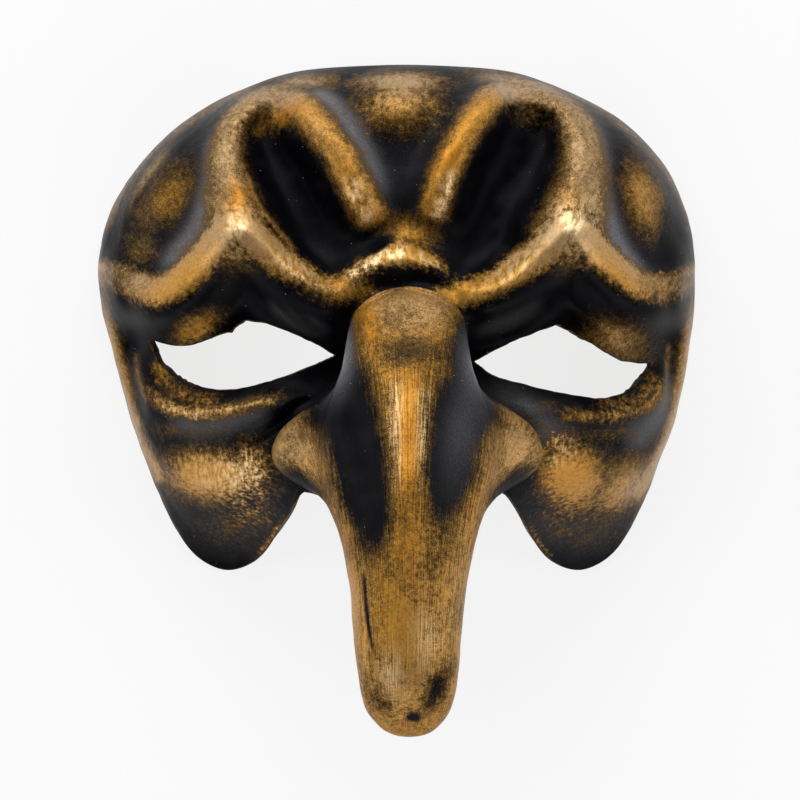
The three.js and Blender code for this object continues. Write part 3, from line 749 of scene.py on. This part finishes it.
# Paint on the face: gold rubbed over what stands proud
BROW_GOLD = {"low": -9.0, "full": -1.5, "edge": 1.5, "out": 7.0, "gold": 1.05, "crumble": 1.6}
GOLD_STROKES = [
    # Ridges, then the outline
    line(V_LEFT, 6.4, (0, 0.1), power=2.6, gold=0.82, warm=0.2),
    line(V_RIGHT, 5.4, (0, 0.12), power=2.6, gold=0.84, warm=0.1),
    line(PEAK_LEFT, 4.6, (0, 0), widen=8, power=2.6, gold=0.78, tan=0.9),
    line(PEAK_RIGHT, 5.6, (0, 0), widen=8, power=2.6, gold=0.8, tan=1),
    # The outline's tan strips, partly a painted sheen where the sides turn away
    line([(-89, 33), (-87.5, 22.4), (-85.2, 10.5), (-81.9, -2.8), (-77.4, -16.2), (-72.1, -26.5)], 4.2,
         (0.1, 0), gold=0.78, tan=0.7),
    line([(87, 33), (85.4, 19.4), (83.3, 4.6), (80.3, -10.2), (75.5, -22.1), (69, -31)], 4.8, (0.1, 0),
         gold=0.85, tan=0.8),
    # Bags, a painted tan sheen along the crown's edge, lower lids and the lobes' inner edges; the left bag
    # has a painted highlight
    line(BAG_LEFT, 3.0, (0.35, 0.3), gold=0.72, pale=0.35, crumble=0.35, streak=-0.3),
    line(BAG_RIGHT, 3.0, (0.2, 0.55), gold=0.58, tan=0.2, crumble=0.35, streak=-0.3),
    line([(-88, 40), (-84, 54), (-74, 68), (-58, 80), (-40, 88)], 4.0, (0.1, 0.1), gold=0.5, tan=0.9),
    line([(44, 88), (60, 79), (75, 66), (84, 52), (88, 40)], 4.0, (0.1, 0.1), gold=0.5, tan=0.9),
    line([(-71.5, 8.5), (-69.2, 2.4), (-64.3, -2.0), (-56.9, -4.3), (-46, -4.6)], 3.6, (0.05, 0.3),
         gold=0.56, warm=0.4, crumble=0.3),
    line([(72.6, 4.5), (70.8, -0.9), (66.3, -3.9), (59.3, -5.2), (49, -5.6)], 3.6, (0.05, 0.3), gold=0.5,
         crumble=0.4),
    line([(-33, -29.5), (-35, -38.5), (-40.5, -47.5), (-49, -54)], 1.6, (0.5, 0.4), gold=0.62,
         crumble=0.7),
    line([(35, -33), (37.5, -42), (43.5, -50.5), (51, -55)], 1.2, (0.5, 0.4), gold=0.5, crumble=0.6),
    # Painted grey sheen in grooves and on the ridges' steep flanks, where light would glance off them, and
    # thin folds
    line([(-68, -9), (-58, -12), (-48, -9.5), (-36, -5)], 3.4, dust=0.75),
    line([(77, 4), (74, -8), (68, -15), (61, -18)], 4.2, (0.3, 0.3), dust=0.9),
    line([(-78.4, 11), (-77.2, 4), (-74.8, -3), (-70.5, -9)], 1.8, (0.1, 0.3), gold=0.5),
    line([(77.4, 14), (76.8, 6), (74.8, -3), (70.5, -12)], 1.8, (0.1, 0.3), gold=0.5),
    line([(-50.5, 74), (-52.5, 66), (-54, 55), (-57.5, 44.5), (-64, 36.5), (-71, 32)], 3.0, gold=0.4,
         dust=1.5, tan=1),
    line([(-27, 84.5), (-18.5, 77.5), (-11.5, 66), (-6.5, 55), (-4.5, 46)], 2.8, (0.1, 0.4), gold=0.3,
         dust=1.4, tan=0.8),
    line([(50, 79), (54, 67), (55, 55), (59, 42), (65, 33), (72, 29)], 3.0, gold=0.3, dust=1.7, tan=0.8),
    line([(-44.6, 64.3), (-42.8, 56), (-39.5, 49), (-33, 41), (-27, 34.5)], 1.1, gold=0.8),
    # Painted highlights on the crests, where light catches them
    line([(-49, 45.5), (-46.6, 44.2), (-43, 42)], 3.4, pale=0.65),
    line([(-17, 29), (-10, 32.5), (-4, 36), (3, 36)], 2.4, pale=1.0),
    line([(3, 36), (8, 32.5), (14, 27)], 1.6, (0.1, 0.2), pale=0.6),
    line([(43, 43.5), (46.5, 44.3), (49.5, 42.5)], 3.4, pale=0.8, tan=0.3),
    line([(-16.5, 58), (-12, 51), (-9.2, 44.5)], 2.4, (0.3, 0.1), pale=0.6),
    line([(14.5, 60), (11.6, 52.5), (9.4, 45)], 2.0, (0.3, 0.1), pale=0.8),
]
GOLD_SPOTS = [
    # Crown and temples; the tan at the crown's top edge and beside the left temple is a painted sheen
    patch((-1, 79), (15, 11), gold=0.76, tan=0.3, crumble=0.2),
    patch((-0.5, 85.5), (17, 5), gold=0.88, tan=0.9),
    patch((-28.5, 87), (15, 5), gold=0.66, tan=1),
    patch((34, 87), (20, 5), -12, gold=0.68, tan=1),
    patch((-67, 53), (15, 9), 52, gold=0.64, streak=-0.3),
    patch((-73, 60), (14, 3), 55, gold=0.66, tan=1),
    patch((68, 52.5), (15, 8.5), 98, gold=0.74, tan=0.3, streak=-0.3),
    patch((-75, 37), (9, 9), gold=0.6, tan=1),
    # Ridges
    patch((-38, 82.5), (15, 7), 18, gold=0.78, warm=0.1),
    patch((-39.6, 81.2), (5.2, 1.9), 18, gold=0.9, warm=0.75),
    patch((-34.8, 75.2), (5, 4.4), gold=0.86, warm=0.5),
    patch((-45.7, 51.5), (4.4, 5.5), gold=0.88, warm=0.6, tan=-0.8),
    patch((46.6, 51), (4.4, 5), gold=0.84, warm=0.4, tan=-0.8),
    patch((12.2, 63.5), (2.6, 7), -25, gold=0.95, warm=0.6),
    patch((35, 83.5), (16, 6), -12, gold=0.66, tan=0.6),
    # Upper lids, cheeks with painted highlights, and the painted grey sheen between them and the nose
    patch((-58.5, 15.9), (9, 4.6), 32, gold=0.84, warm=0.15, crumble=0.3),
    patch((61, 12.5), (14, 8), -12, gold=0.68, tan=0.6),
    patch((-55, -26.5), (18, 9.5), -6, gold=1.0, warm=0.25, crumble=0.25, streak=-0.3),
    patch((-43.5, -25), (7, 11), gold=0.8, pale=0.6, crumble=0.5),
    patch((48.2, -26.3), (14.5, 11), -55, gold=1.0, warm=0.3, crumble=0.3, streak=-0.3),
    patch((43.5, -17.5), (5, 5.5), gold=0.74, pale=0.3, crumble=0.3),
    patch((63.5, -30), (16, 11), 28, gold=0.78, tan=0.4),
    patch((1.5, 42), (11, 7), gold=0.7, warm=0.1),
    patch((38.5, -12), (9, 5), -35, gold=0.3, crumble=0.8, dust=0.8),
    patch((1.5, 30.2), (14, 3.2), crumble=1.0),
    # Lobes under a painted grey sheen, the band's outer ends and smaller places, some with painted highlights
    patch((-52, -42), (16, 8), gold=0.38, dust=0.2),
    patch((55, -43), (16, 8), gold=0.4, dust=0.3),
    patch((83, 29), (16, 9), tan=0.9),
    patch((-86, 31), (16, 9), tan=0.9),
    patch((33, -6.5), (8, 4), -35, dust=0.5),
    patch((-40, 74), (9, 7), gold=0.62, crumble=0.3),
    patch((37.5, 76), (9, 6), gold=0.56, tan=0.3, crumble=0.3),
    patch((-24, 71), (4, 12), 30, tan=0.3),
    patch((-45, -37), (11, 9), gold=0.45, crumble=0.6),
    patch((46, -38), (11, 8), gold=0.4, crumble=0.5),
    patch((-54, -25), (12, 7), pale=0.3),
    patch((0, 62), (8, 12), dust=0.14),
    # Painted highlights on the brow band and the right peak
    patch((-29, 31.5), (9, 4), -35, gold=1.15, pale=0.5, crumble=0.1),
    patch((31.8, 34.3), (10, 4), 38, gold=1.15, warm=0.3, pale=0.5),
    patch((49, 48), (7, 6), pale=0.35),
    patch((-60, -13), (20, 4), gold=0.42, tan=0.8),
    patch((60, -14), (20, 4), gold=0.42, tan=0.8),
]
BARE_SPOTS = [
    patch((-6.6, 38.8), (3.2, 1.8), 35, bare=0.8),
    patch((-84, 30), (15, 9), bare=0.35),
    patch((-26, 24), (13, 5), -25, bare=0.5),
    patch((28, 22), (13, 5), 25, bare=0.5),
    patch((80, 29), (18, 10), bare=0.35),
    patch((1.2, 29.3), (14, 3.4), bare=0.9),
    patch((-29.5, 53.5), (16, 6.5), -62, bare=0.9),
    patch((29, 53.5), (17, 7.5), 62, bare=0.9),
]
RIM_GOLD = {"gold": 0.6, "from": 0.985, "to": 1.0, "from_z": 9.0, "to_z": 1.0}
BARE_DEPTH = 0.35
FACE_STREAK = 0.45

# Paint on the nose: gold all over its back, black in the two hollows and underneath
NOSE_BARE = [
    patch((-13, -15), (19, 6.8), 100, bare=1.0),
    patch((-9.8, -31), (10, 4.2), 104, bare=0.85),
    patch((-19.5, 4), (13, 4.5), 82, bare=1.0),
    patch((14, -12), (17, 6.2), 82, bare=1.0),
    patch((12.4, -25), (9, 4.2), 78, bare=0.75),
    patch((19.5, 4), (13, 4.2), 98, bare=1.0),
    patch((-0.9, 17.5), (6, 3), bare=0.1),
    patch((2.6, 8.8), (8, 5), bare=0.18),
    patch((-9.5, -45), (13, 3.6), 98, bare=0.1),
    patch((8.5, -40), (12, 3.4), 82, bare=0.15),
    patch((-24, -6.5), (7, 4.5), 50, bare=0.3),
    patch((24.5, -8), (6, 4), -50, bare=0.25),
    patch((8.6, -79), (6.5, 2.4), 60, bare=0.45),
    patch((2.5, -86.6), (1.5, 0.9), bare=1.0),
    patch((-6.5, -82), (5, 3), 130, bare=0.2),
    patch((-27.5, -28), (7, 3), -38, bare=0.7),
    patch((29.5, -28), (7, 3), 38, bare=0.7),
    patch((1.2, 9), (12, 5), bare=0.1),
]
NOSE_SCRATCH = line([(-10.6, -47.5), (-8.6, -66), (-5.4, -74)], 0.4, (0.3, 0.5))
NOSE_STROKES = [
    line([(1.6, 8), (1.6, -12), (1.4, -40)], 6.6, (0.25, 0.4), power=2.6, gold=0.9, warm=0.3),
    # Two painted highlights down the nose's back
    line([(-2.3, 4), (-2.4, -15), (-2.2, -30)], 1.8, (0.25, 0.3), pale=0.55),
    line([(5.9, 3), (5.6, -12), (5, -30)], 2.0, (0.25, 0.3), pale=0.55),
    line([(1.6, -2), (1.6, -24), (1.4, -62)], 3.0, (0.2, 0.3), warm=0.5),
]
NOSE_SPOTS = [
    # Painted highlights near the tip
    patch((-3, -75), (2.8, 5.5), gold=0.9, pale=0.7),
    patch((5.7, -66.5), (3, 7), gold=0.9, pale=0.5),
    patch((1, -64), (15, 22), gold=0.92),
    patch((0, -80), (12, 8), gold=0.88, tan=0.4, crumble=0.35, streak=-0.6),
    patch((-10.5, 16), (4.5, 7), warm=0.9, tan=-0.6),
    patch((1.2, 20.5), (16, 7), tan=0.8, gold=0.74, streak=-0.9),
    patch((1.2, 11), (16, 7), streak=-0.7, tan=0.1, gold=0.68, warm=0.2),
    patch((-30, -17), (9, 16), -12, tan=0.8, streak=-0.5),
    patch((31, -17), (10, 16), 12, gold=0.86, tan=0.7, streak=-0.4),
    # Painted grey sheen on the flanks of the nose's root
    patch((-17, 8), (9, 3.6), 82, dust=1.8),
    patch((19, 6), (9, 3.6), 98, dust=1.0),
    patch((16, -12), (14, 5.5), 82, dust=0.5),
    patch((6, -50), (7, 16), crumble=0.3, tan=0.2),
    patch((-13, -58), (4, 22), 4, gold=0.95, tan=0.4),
    patch((14, -58), (4, 22), -4, tan=0.4),
]
NOSE_GOLD = 0.74
UNDERSIDE_GOLD = 0.34
UPPER_SIDE = (-0.35, 0.15)

# Brush strokes: down the nose, a stroke's width apart on each spoke, and fanning out over the forehead
NOSE_STROKE_GAP = 0.6
SIDE_SHIFT = 0.02
FAN_FROM = 200.0
FAN_REACH = 80.0
FACE_STROKES = 2.4


def lay_paint(paint, rows, shape, x, y):
    """Adds strokes or spots to the layers: gold as the thickest of all, the other layers as sums."""
    for row in rows:
        reach = shape(row, x, y)
        for layer in LAYERS:
            amount = row.get(layer, 0) * reach
            paint[layer] = np.maximum(paint[layer], amount) if layer == "gold" else paint[layer] + amount


def wipe_bare(paint, rows, x, y):
    for row in rows:
        bare = row["bare"] * bump(row, x, y)
        paint["gold"] = paint["gold"] * (1 - bare) - BARE_DEPTH * bare


def paint_face(x, y, z):
    d = above_brow(x, y)
    paint = {layer: np.zeros(x.shape) for layer in LAYERS}
    band = smooth(BROW_GOLD["low"], BROW_GOLD["full"], d) * smooth(BROW_GOLD["out"], BROW_GOLD["edge"], d)
    paint["gold"] = BROW_GOLD["gold"] * band
    paint["crumble"] += BROW_GOLD["crumble"] * band * (1 - band)
    paint["streak"] += FACE_STREAK
    lay_paint(paint, GOLD_STROKES, stroke, x, y)
    lay_paint(paint, GOLD_SPOTS, bump, x, y)
    rim = smooth(RIM_GOLD["from"], RIM_GOLD["to"], outline_share(x, y))
    rim = RIM_GOLD["gold"] * rim * smooth(RIM_GOLD["from_z"], RIM_GOLD["to_z"], z)
    paint["gold"] = np.maximum(paint["gold"], rim)
    wipe_bare(paint, BARE_SPOTS, x, y)
    return paint


def paint_nose(x, y, upper):
    paint = {layer: np.zeros(x.shape) for layer in LAYERS}
    paint["gold"] = UNDERSIDE_GOLD + (NOSE_GOLD - UNDERSIDE_GOLD) * upper
    paint["streak"] += 1
    lay_paint(paint, NOSE_STROKES, stroke, x, y)
    lay_paint(paint, NOSE_SPOTS, bump, x, y)
    wipe_bare(paint, NOSE_BARE, x, y)
    paint["gold"] = paint["gold"] * (1 - stroke(NOSE_SCRATCH, x, y))
    return paint


def make_paint(grid):
    """The paint layers over the outside's grid."""
    x, y, z = grid[..., 0], grid[..., 1], grid[..., 2]
    upper = smooth(*UPPER_SIDE, grid_normals(grid)[..., 2])
    nose = slice(0, NOSE_RINGS)
    face = slice(NOSE_RINGS, None)
    on_nose = paint_nose(x[nose], y[nose], upper[nose])
    on_face = paint_face(x[face], y[face], z[face])
    return {layer: np.concatenate([on_nose[layer], on_face[layer]]) for layer in LAYERS}


def make_brush(grid, at):
    """Coordinates in millimetres across and along the brush: down the nose, and fanning over the forehead."""
    spoke = np.arange(SPOKES)
    folded = np.abs(spoke - SPOKES / 2)
    nose = np.stack(np.broadcast_arrays(NOSE_STROKE_GAP * folded, at[:, None], SIDE_SHIFT * spoke), 2)
    x, y = grid[NOSE_RINGS:, :, 0], grid[NOSE_RINGS:, :, 1]
    face = np.stack([FAN_FROM + x / (1 + np.maximum(y, 0) / FAN_REACH), FACE_STROKES * y, 0 * y], 2)
    return np.concatenate([nose, face])


def add_attribute(mesh, name, values):
    kind, field = ("FLOAT", "value") if values.shape[1] == 1 else ("FLOAT_VECTOR", "vector")
    attribute = mesh.attributes.new(name, kind, "POINT")
    attribute.data.foreach_set(field, values.ravel().astype(np.float32))


def build_mask():
    outside, depth, at = make_outside()
    points, faces, numbers, cutter = make_shell(outside, depth)
    used = np.unique(np.concatenate([np.array(face) for face in faces]))
    place = np.zeros(len(points), int)
    place[used] = np.arange(len(used))
    mesh = bpy.data.meshes.new("painted_mask")
    placed = (points[used] + [MIDDLE_X, 0, 0]) * MM
    mesh.from_pydata(placed.tolist(), [], [place[face].tolist() for face in faces])
    mesh.polygons.foreach_set("material_index", numbers)
    mesh.polygons.foreach_set("use_smooth", [True] * len(faces))
    layers = {**make_paint(outside), "brush": make_brush(outside, at)}
    for name, grid in layers.items():
        values = cutter.extended(grid)
        spread = np.zeros((len(points), values.shape[1]))
        spread[: len(values)] = values
        spread[len(values) : 2 * len(values)] = values
        add_attribute(mesh, name, spread[used])
    mesh.update()
    mask = bpy.data.objects.new("painted_mask", mesh)
    bpy.context.scene.collection.objects.link(mask)
    return mask


class Nodes:
    """A node tree whose nodes are added by name; each call gives back the socket with its result."""

    def __init__(self, owner):
        owner.use_nodes = True
        self.tree = owner.node_tree

    def add(self, kind, inputs, output=0, **settings):
        node = self.tree.nodes.new(kind)
        for name, value in settings.items():
            setattr(node, name, value)
        for name, value in inputs.items():
            self.put(node.inputs[name], value)
        return node.outputs[output]

    def put(self, socket, value):
        if isinstance(value, bpy.types.NodeSocket):
            self.tree.links.new(value, socket)
        else:
            socket.default_value = value

    def between(self, value, low, high, start=0.0, end=1.0):
        inputs = {"Value": value, "From Min": low, "From Max": high, "To Min": start, "To Max": end}
        return self.add("ShaderNodeMapRange", inputs, interpolation_type="SMOOTHSTEP")


class Shader(Nodes):
    """A material and its nodes, with noises in millimetres."""

    def __init__(self, name):
        self.material = bpy.data.materials.new(name)
        super().__init__(self.material)
        self.surface = self.tree.nodes["Principled BSDF"]

    def finish(self, **inputs):
        for name, value in inputs.items():
            self.put(self.surface.inputs[name.replace("_", " ").title().replace("Ior", "IOR")], value)
        return self.material

    def layer(self, name):
        return self.add("ShaderNodeAttribute", {}, output="Fac", attribute_name=name)

    def stretched(self, vector, stretch):
        return self.add("ShaderNodeVectorMath", {0: vector, 1: stretch}, operation="MULTIPLY")

    def brush(self, along):
        vector = self.add("ShaderNodeAttribute", {}, output="Vector", attribute_name="brush")
        return self.stretched(vector, (1.0, along, 1.0))

    def millimetres(self):
        place = self.add("ShaderNodeTexCoord", {}, output="Object")
        return self.add("ShaderNodeVectorMath", {0: place, "Scale": 1 / MM}, operation="SCALE")

    def noise(self, vector, size, detail=2.0, roughness=0.55):
        inputs = {"Vector": vector, "Scale": 1 / size, "Detail": detail, "Roughness": roughness}
        return self.add("ShaderNodeTexNoise", inputs)

    def math(self, operation, a, b):
        return self.add("ShaderNodeMath", {0: a, 1: b}, operation=operation)

    def times(self, a, b):
        return self.math("MULTIPLY", a, b)

    def total(self, *values):
        result = values[0]
        for value in values[1:]:
            result = self.math("ADD", result, value)
        return result

    def about(self, value, amount):
        """A noise made to swing about nothing, by the given amount."""
        return self.times(self.math("SUBTRACT", value, 0.5), amount)

    def blend(self, share, a, b):
        inputs = {0: share, 6: a, 7: b}
        return self.add("ShaderNodeMix", inputs, output=2, data_type="RGBA", clamp_factor=True)

    def bump(self, height, depth):
        return self.add("ShaderNodeBump", {"Height": height, "Distance": depth * MM, "Strength": 1.0})


# Noises: size in millimetres, detail and roughness
BROAD = (9.0, 2.0, 0.55)
CLUMPS = (1.5, 3.0, 0.6)
GRAIN = (0.42, 2.0, 0.7)
STREAKS = (1.0, 3.0, 0.65)
STREAK_SHARE = 0.14
SCRATCHES = (0.8, 4.0, 0.75)

# What the noises add to the gold's thickness and to the relief
THICKNESS = {"broad": 0.35, "streaks": 0.9, "grain": 0.7, "clumps": 0.45, "crumble": 1.6}
RELIEF = {"cover": 0.35, "grain": 0.55, "clumps": 0.35, "crumble": 2.2, "depth": 0.1}
GLOSS = {"metal": 0.45, "roughness": 0.34, "grain": 0.2, "broad": 0.15, "mirror": 0.035}

# Ranges over which a colour or the gold's cover comes in
COVER = (0.12, 1.1)
THIN = (0.0, 0.45)
FULL = (0.3, 1.0)
DUSTY = (0.4, 0.7)
# Where the painted grey sheen shows, over the grain
SHEEN_SPREAD = (0.2, 0.8, 0.25, 0.85)
SCRATCHED = (0.42, 0.68, 0.0, 0.62)
# Where the painted highlights show, along the streaks
HIGHLIGHT_BREAKUP = (0.36, 0.62)
WARMTH = {"swing": 1.2, "base": 0.25}
SPECKS = {"per_mm": 0.5, "share": 0.28, "outer": 0.07, "inner": 0.035, "strength": 0.75}

BLACK = (0.0015, 0.0015, 0.0025, 1)
DUSTY_BLACK = (0.0045, 0.0045, 0.006, 1)
THIN_GOLD = (0.085, 0.044, 0.009, 1)
OCHRE_GOLD = (0.46, 0.23, 0.038, 1)
ORANGE_GOLD = (0.48, 0.195, 0.016, 1)
# Dull tan gold, also used as a painted sheen on steep slopes and edges
TAN_GOLD_AND_SHEEN = (0.40, 0.265, 0.135, 1)
DEEP_GOLD = (0.22, 0.1, 0.012, 1)
# Painted highlight on the gold
HIGHLIGHT_GOLD = (1.0, 0.74, 0.40, 1)
# Grey of the painted sheen on the black's steep slopes
SHEEN_GREY = (0.135, 0.13, 0.137, 1)
DUST = (0.55, 0.55, 0.55, 1)

# Cut edge and lining: paper layers under stains, and torn strips with dark seams between them
EDGE_DARK = (0.012, 0.009, 0.007, 1)
EDGE_BARE = (0.13, 0.075, 0.03, 1)
EDGE_STAIN = (0.018, 0.013, 0.01, 1)
EDGE_LAYERS = {"stretch": (0.5, 0.5, 4.0), "size": 0.9, "bare": (0.35, 0.68), "depth": 0.15}
STAINS = {"size": 5.0, "range": (0.42, 0.62)}
LINING_DARK = (0.10, 0.067, 0.04, 1)
LINING_LIGHT = (0.19, 0.135, 0.085, 1)
LINING_SEAM = (0.05, 0.033, 0.02, 1)
LINING_FIBRE = (0.24, 0.18, 0.12, 1)
LINING_STRIPS = {"stretch": (0.4, 1.0, 0.7), "wave": 12.0, "wander": 14.0, "per_mm": 0.06, "depth": 0.25}
SEAM = {"dark": (0.06, 0.0, 0.0, 0.5), "sunk": (0.0, 0.05)}
FIBRES = (0.8, 3.0, 0.7)
FIBRES_SHOW = (0.4, 0.75, 0.0, 0.4)
FIBRES_RELIEF = 0.4


def mix_colour(shader, noises, cover):
    """The black under a painted grey sheen, and the gold over it with its scratched places, a tan that partly
    stands for a sheen, and painted highlights.
    """
    broad, grain, streaks, scratches = noises
    black = shader.blend(shader.between(broad, *DUSTY), BLACK, DUSTY_BLACK)
    # Painted grey sheen on the black
    sheen = shader.times(shader.layer("dust"), shader.between(grain, *SHEEN_SPREAD))
    black = shader.blend(sheen, black, SHEEN_GREY)
    warm = shader.total(shader.layer("warm"), shader.about(broad, WARMTH["swing"]), WARMTH["base"])
    gold = shader.blend(warm, OCHRE_GOLD, ORANGE_GOLD)
    # Tan: dull gold, and in places a painted sheen
    gold = shader.blend(shader.layer("tan"), gold, TAN_GOLD_AND_SHEEN)
    gold = shader.blend(shader.between(scratches, *SCRATCHED), gold, DEEP_GOLD)
    # Painted highlights, broken up by the streaks
    highlight_share = shader.times(shader.layer("pale"), shader.between(streaks, *HIGHLIGHT_BREAKUP))
    gold = shader.blend(highlight_share, gold, HIGHLIGHT_GOLD)
    thin = shader.blend(shader.between(cover, *THIN), black, THIN_GOLD)
    return shader.blend(shader.between(cover, *FULL), thin, gold)


def make_paint_material():
    """Satin black with gold rubbed on: streaks along the brush, grain where it lies thin, white dust specks,
    and painted highlights and sheen.
    """
    shader = Shader("paint")
    place = shader.millimetres()
    broad = shader.noise(place, *BROAD)
    clumps = shader.noise(place, *CLUMPS)
    grain = shader.noise(place, *GRAIN)
    streaks = shader.noise(shader.brush(STREAK_SHARE), *STREAKS)
    scratches = shader.noise(place, *SCRATCHES)
    crumble = shader.layer("crumble")
    streaky = shader.layer("streak")

    def clumping(row):
        return shader.total(shader.times(crumble, row["crumble"]), row["clumps"])

    thickness = shader.total(
        shader.layer("gold"),
        shader.about(broad, THICKNESS["broad"]),
        shader.times(streaky, shader.about(streaks, THICKNESS["streaks"])),
        shader.about(grain, THICKNESS["grain"]),
        shader.times(clumping(THICKNESS), shader.about(clumps, 1.0)),
    )
    cover = shader.between(thickness, *COVER)
    colour = mix_colour(shader, (broad, grain, streaks, scratches), cover)
    relief = shader.total(
        shader.times(cover, RELIEF["cover"]),
        shader.times(streaky, streaks),
        shader.times(grain, RELIEF["grain"]),
        shader.times(clumps, clumping(RELIEF)),
    )
    rough = (shader.about(grain, GLOSS["grain"]), shader.about(broad, GLOSS["broad"]))
    return shader.finish(
        base_color=shader.blend(make_specks(shader, place), colour, DUST),
        metallic=shader.times(cover, GLOSS["metal"]),
        roughness=shader.total(GLOSS["roughness"], *rough),
        normal=shader.bump(relief, RELIEF["depth"]),
        specular_ior_level=GLOSS["mirror"],
    )


def make_specks(shader, place):
    """White specks of dust in some of the cells of a fine mesh."""
    inputs = {"Vector": place, "Scale": SPECKS["per_mm"]}
    near = shader.add("ShaderNodeTexVoronoi", inputs, output="Distance")
    colour = shader.add("ShaderNodeTexVoronoi", inputs, output="Color")
    lot = shader.add("ShaderNodeSeparateColor", {"Color": colour})
    chosen = shader.math("GREATER_THAN", lot, 1 - SPECKS["share"])
    speck = shader.between(near, SPECKS["outer"], SPECKS["inner"], 0.0, SPECKS["strength"])
    return shader.times(chosen, speck)


def make_edge_material():
    """The cut edge: layers of brown paper, darkened by the paint that ran over them."""
    shader = Shader("cut_edge")
    place = shader.millimetres()
    layers = shader.noise(shader.stretched(place, EDGE_LAYERS["stretch"]), EDGE_LAYERS["size"])
    stain = shader.noise(place, STAINS["size"])
    colour = shader.blend(shader.between(layers, *EDGE_LAYERS["bare"]), EDGE_DARK, EDGE_BARE)
    colour = shader.blend(shader.between(stain, *STAINS["range"]), colour, EDGE_STAIN)
    relief = shader.bump(layers, EDGE_LAYERS["depth"])
    return shader.finish(base_color=colour, roughness=0.62, normal=relief, specular_ior_level=0.05)


def make_lining_material():
    """Inside: bare brown paper, pasted in torn strips."""
    shader = Shader("lining")
    place = shader.millimetres()
    wavy = shader.times(shader.noise(place, LINING_STRIPS["wave"]), LINING_STRIPS["wander"])
    strips = shader.stretched(place, LINING_STRIPS["stretch"])
    torn = shader.add("ShaderNodeVectorMath", {0: strips, 1: wavy})
    cells = {"Vector": torn, "Scale": LINING_STRIPS["per_mm"]}
    colour = shader.add("ShaderNodeTexVoronoi", cells, output="Color")
    seam = shader.add("ShaderNodeTexVoronoi", cells, feature="DISTANCE_TO_EDGE")
    tone = shader.add("ShaderNodeSeparateColor", {"Color": colour})
    fibres = shader.noise(place, *FIBRES)
    paper = shader.blend(tone, LINING_DARK, LINING_LIGHT)
    paper = shader.blend(shader.between(seam, *SEAM["dark"]), paper, LINING_SEAM)
    paper = shader.blend(shader.between(fibres, *FIBRES_SHOW), paper, LINING_FIBRE)
    relief = shader.total(shader.between(seam, *SEAM["sunk"]), shader.times(fibres, FIBRES_RELIEF))
    relief = shader.bump(relief, LINING_STRIPS["depth"])
    return shader.finish(base_color=paper, roughness=0.82, normal=relief, specular_ior_level=0.1)


def make_table_material():
    return Shader("table").finish(
        base_color=FLOOR_COLOUR,
        roughness=0.7,
        specular_ior_level=0.2,
        emission_color=(1, 1, 1, 1),
        emission_strength=FLOOR_GLOW,
    )


# Stage: the camera looks straight down on a pale table that glows a little, under soft lights
CAMERA = {"x": 1.06, "y": -4.3, "height": 730.0, "subject_z": 50.0, "frame": 224.0}
SENSOR = 36.0
FLOOR_SIZE = 4.0
FLOOR_COLOUR = (0.17, 0.17, 0.175, 1)
FLOOR_GLOW = 0.795
LIGHTS = {
    "key": {"at": (-0.15, 1.05, 0.65), "target": (0, 0, 0.05), "size": (1.6, 0.7), "power": 15},
    "left": {"at": (-1.0, -0.1, 0.3), "target": (0, 0, 0.04), "size": (0.4, 1.0), "power": 3.2},
    "right": {"at": (1.0, -0.1, 0.3), "target": (0, 0, 0.04), "size": (0.4, 1.0), "power": 3.2},
    "front": {"at": (0.1, -1.0, 0.5), "target": (0, 0, 0.04), "size": (1.0, 0.4), "power": 4},
}
SKY = {"overhead": 0.0, "horizon": 1.45, "low": 0.25, "high": 0.75, "colour": (0.93, 0.96, 1, 1)}


def make_camera():
    data = bpy.data.cameras.new("camera")
    data.sensor_width = SENSOR
    data.lens = SENSOR * (CAMERA["height"] - CAMERA["subject_z"]) / CAMERA["frame"]
    camera = bpy.data.objects.new("camera", data)
    camera.location = (CAMERA["x"] * MM, CAMERA["y"] * MM, CAMERA["height"] * MM)
    bpy.context.scene.collection.objects.link(camera)
    bpy.context.scene.camera = camera


def make_floor(level):
    half = FLOOR_SIZE / 2
    corners = [(-half, -half, level), (half, -half, level), (half, half, level), (-half, half, level)]
    mesh = bpy.data.meshes.new("floor")
    mesh.from_pydata(corners, [], [[0, 1, 2, 3]])
    mesh.materials.append(make_table_material())
    floor = bpy.data.objects.new("floor", mesh)
    bpy.context.scene.collection.objects.link(floor)


def make_light(name, at, target, size, power):
    data = bpy.data.lights.new(name, "AREA")
    data.shape = "RECTANGLE"
    data.size, data.size_y = size
    data.energy = power
    light = bpy.data.objects.new(name, data)
    light.location = at
    light.rotation_euler = (Vector(target) - Vector(at)).to_track_quat("-Z", "Y").to_euler()
    bpy.context.scene.collection.objects.link(light)


def make_world():
    """White all round at table height and darker overhead, as in a photographer's tent."""
    world = bpy.data.worlds.new("studio")
    nodes = Nodes(world)
    background = nodes.tree.nodes["Background"]
    direction = nodes.add("ShaderNodeTexCoord", {}, output="Generated")
    height = nodes.add("ShaderNodeSeparateXYZ", {"Vector": direction}, output="Z")
    strength = nodes.between(height, SKY["low"], SKY["high"], SKY["horizon"], SKY["overhead"])
    nodes.put(background.inputs["Color"], SKY["colour"])
    nodes.put(background.inputs["Strength"], strength)
    bpy.context.scene.world = world


cad_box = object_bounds()
bpy.context.scene.view_settings.view_transform = "Standard"
make_camera()
mask = build_mask()
mask.data.materials.append(make_paint_material())
mask.data.materials.append(make_edge_material())
mask.data.materials.append(make_lining_material())
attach(mask, "root")
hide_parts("mask")
make_floor(cad_box[0].z)
for light_name, light in LIGHTS.items():
    make_light(light_name, **light)
make_world()
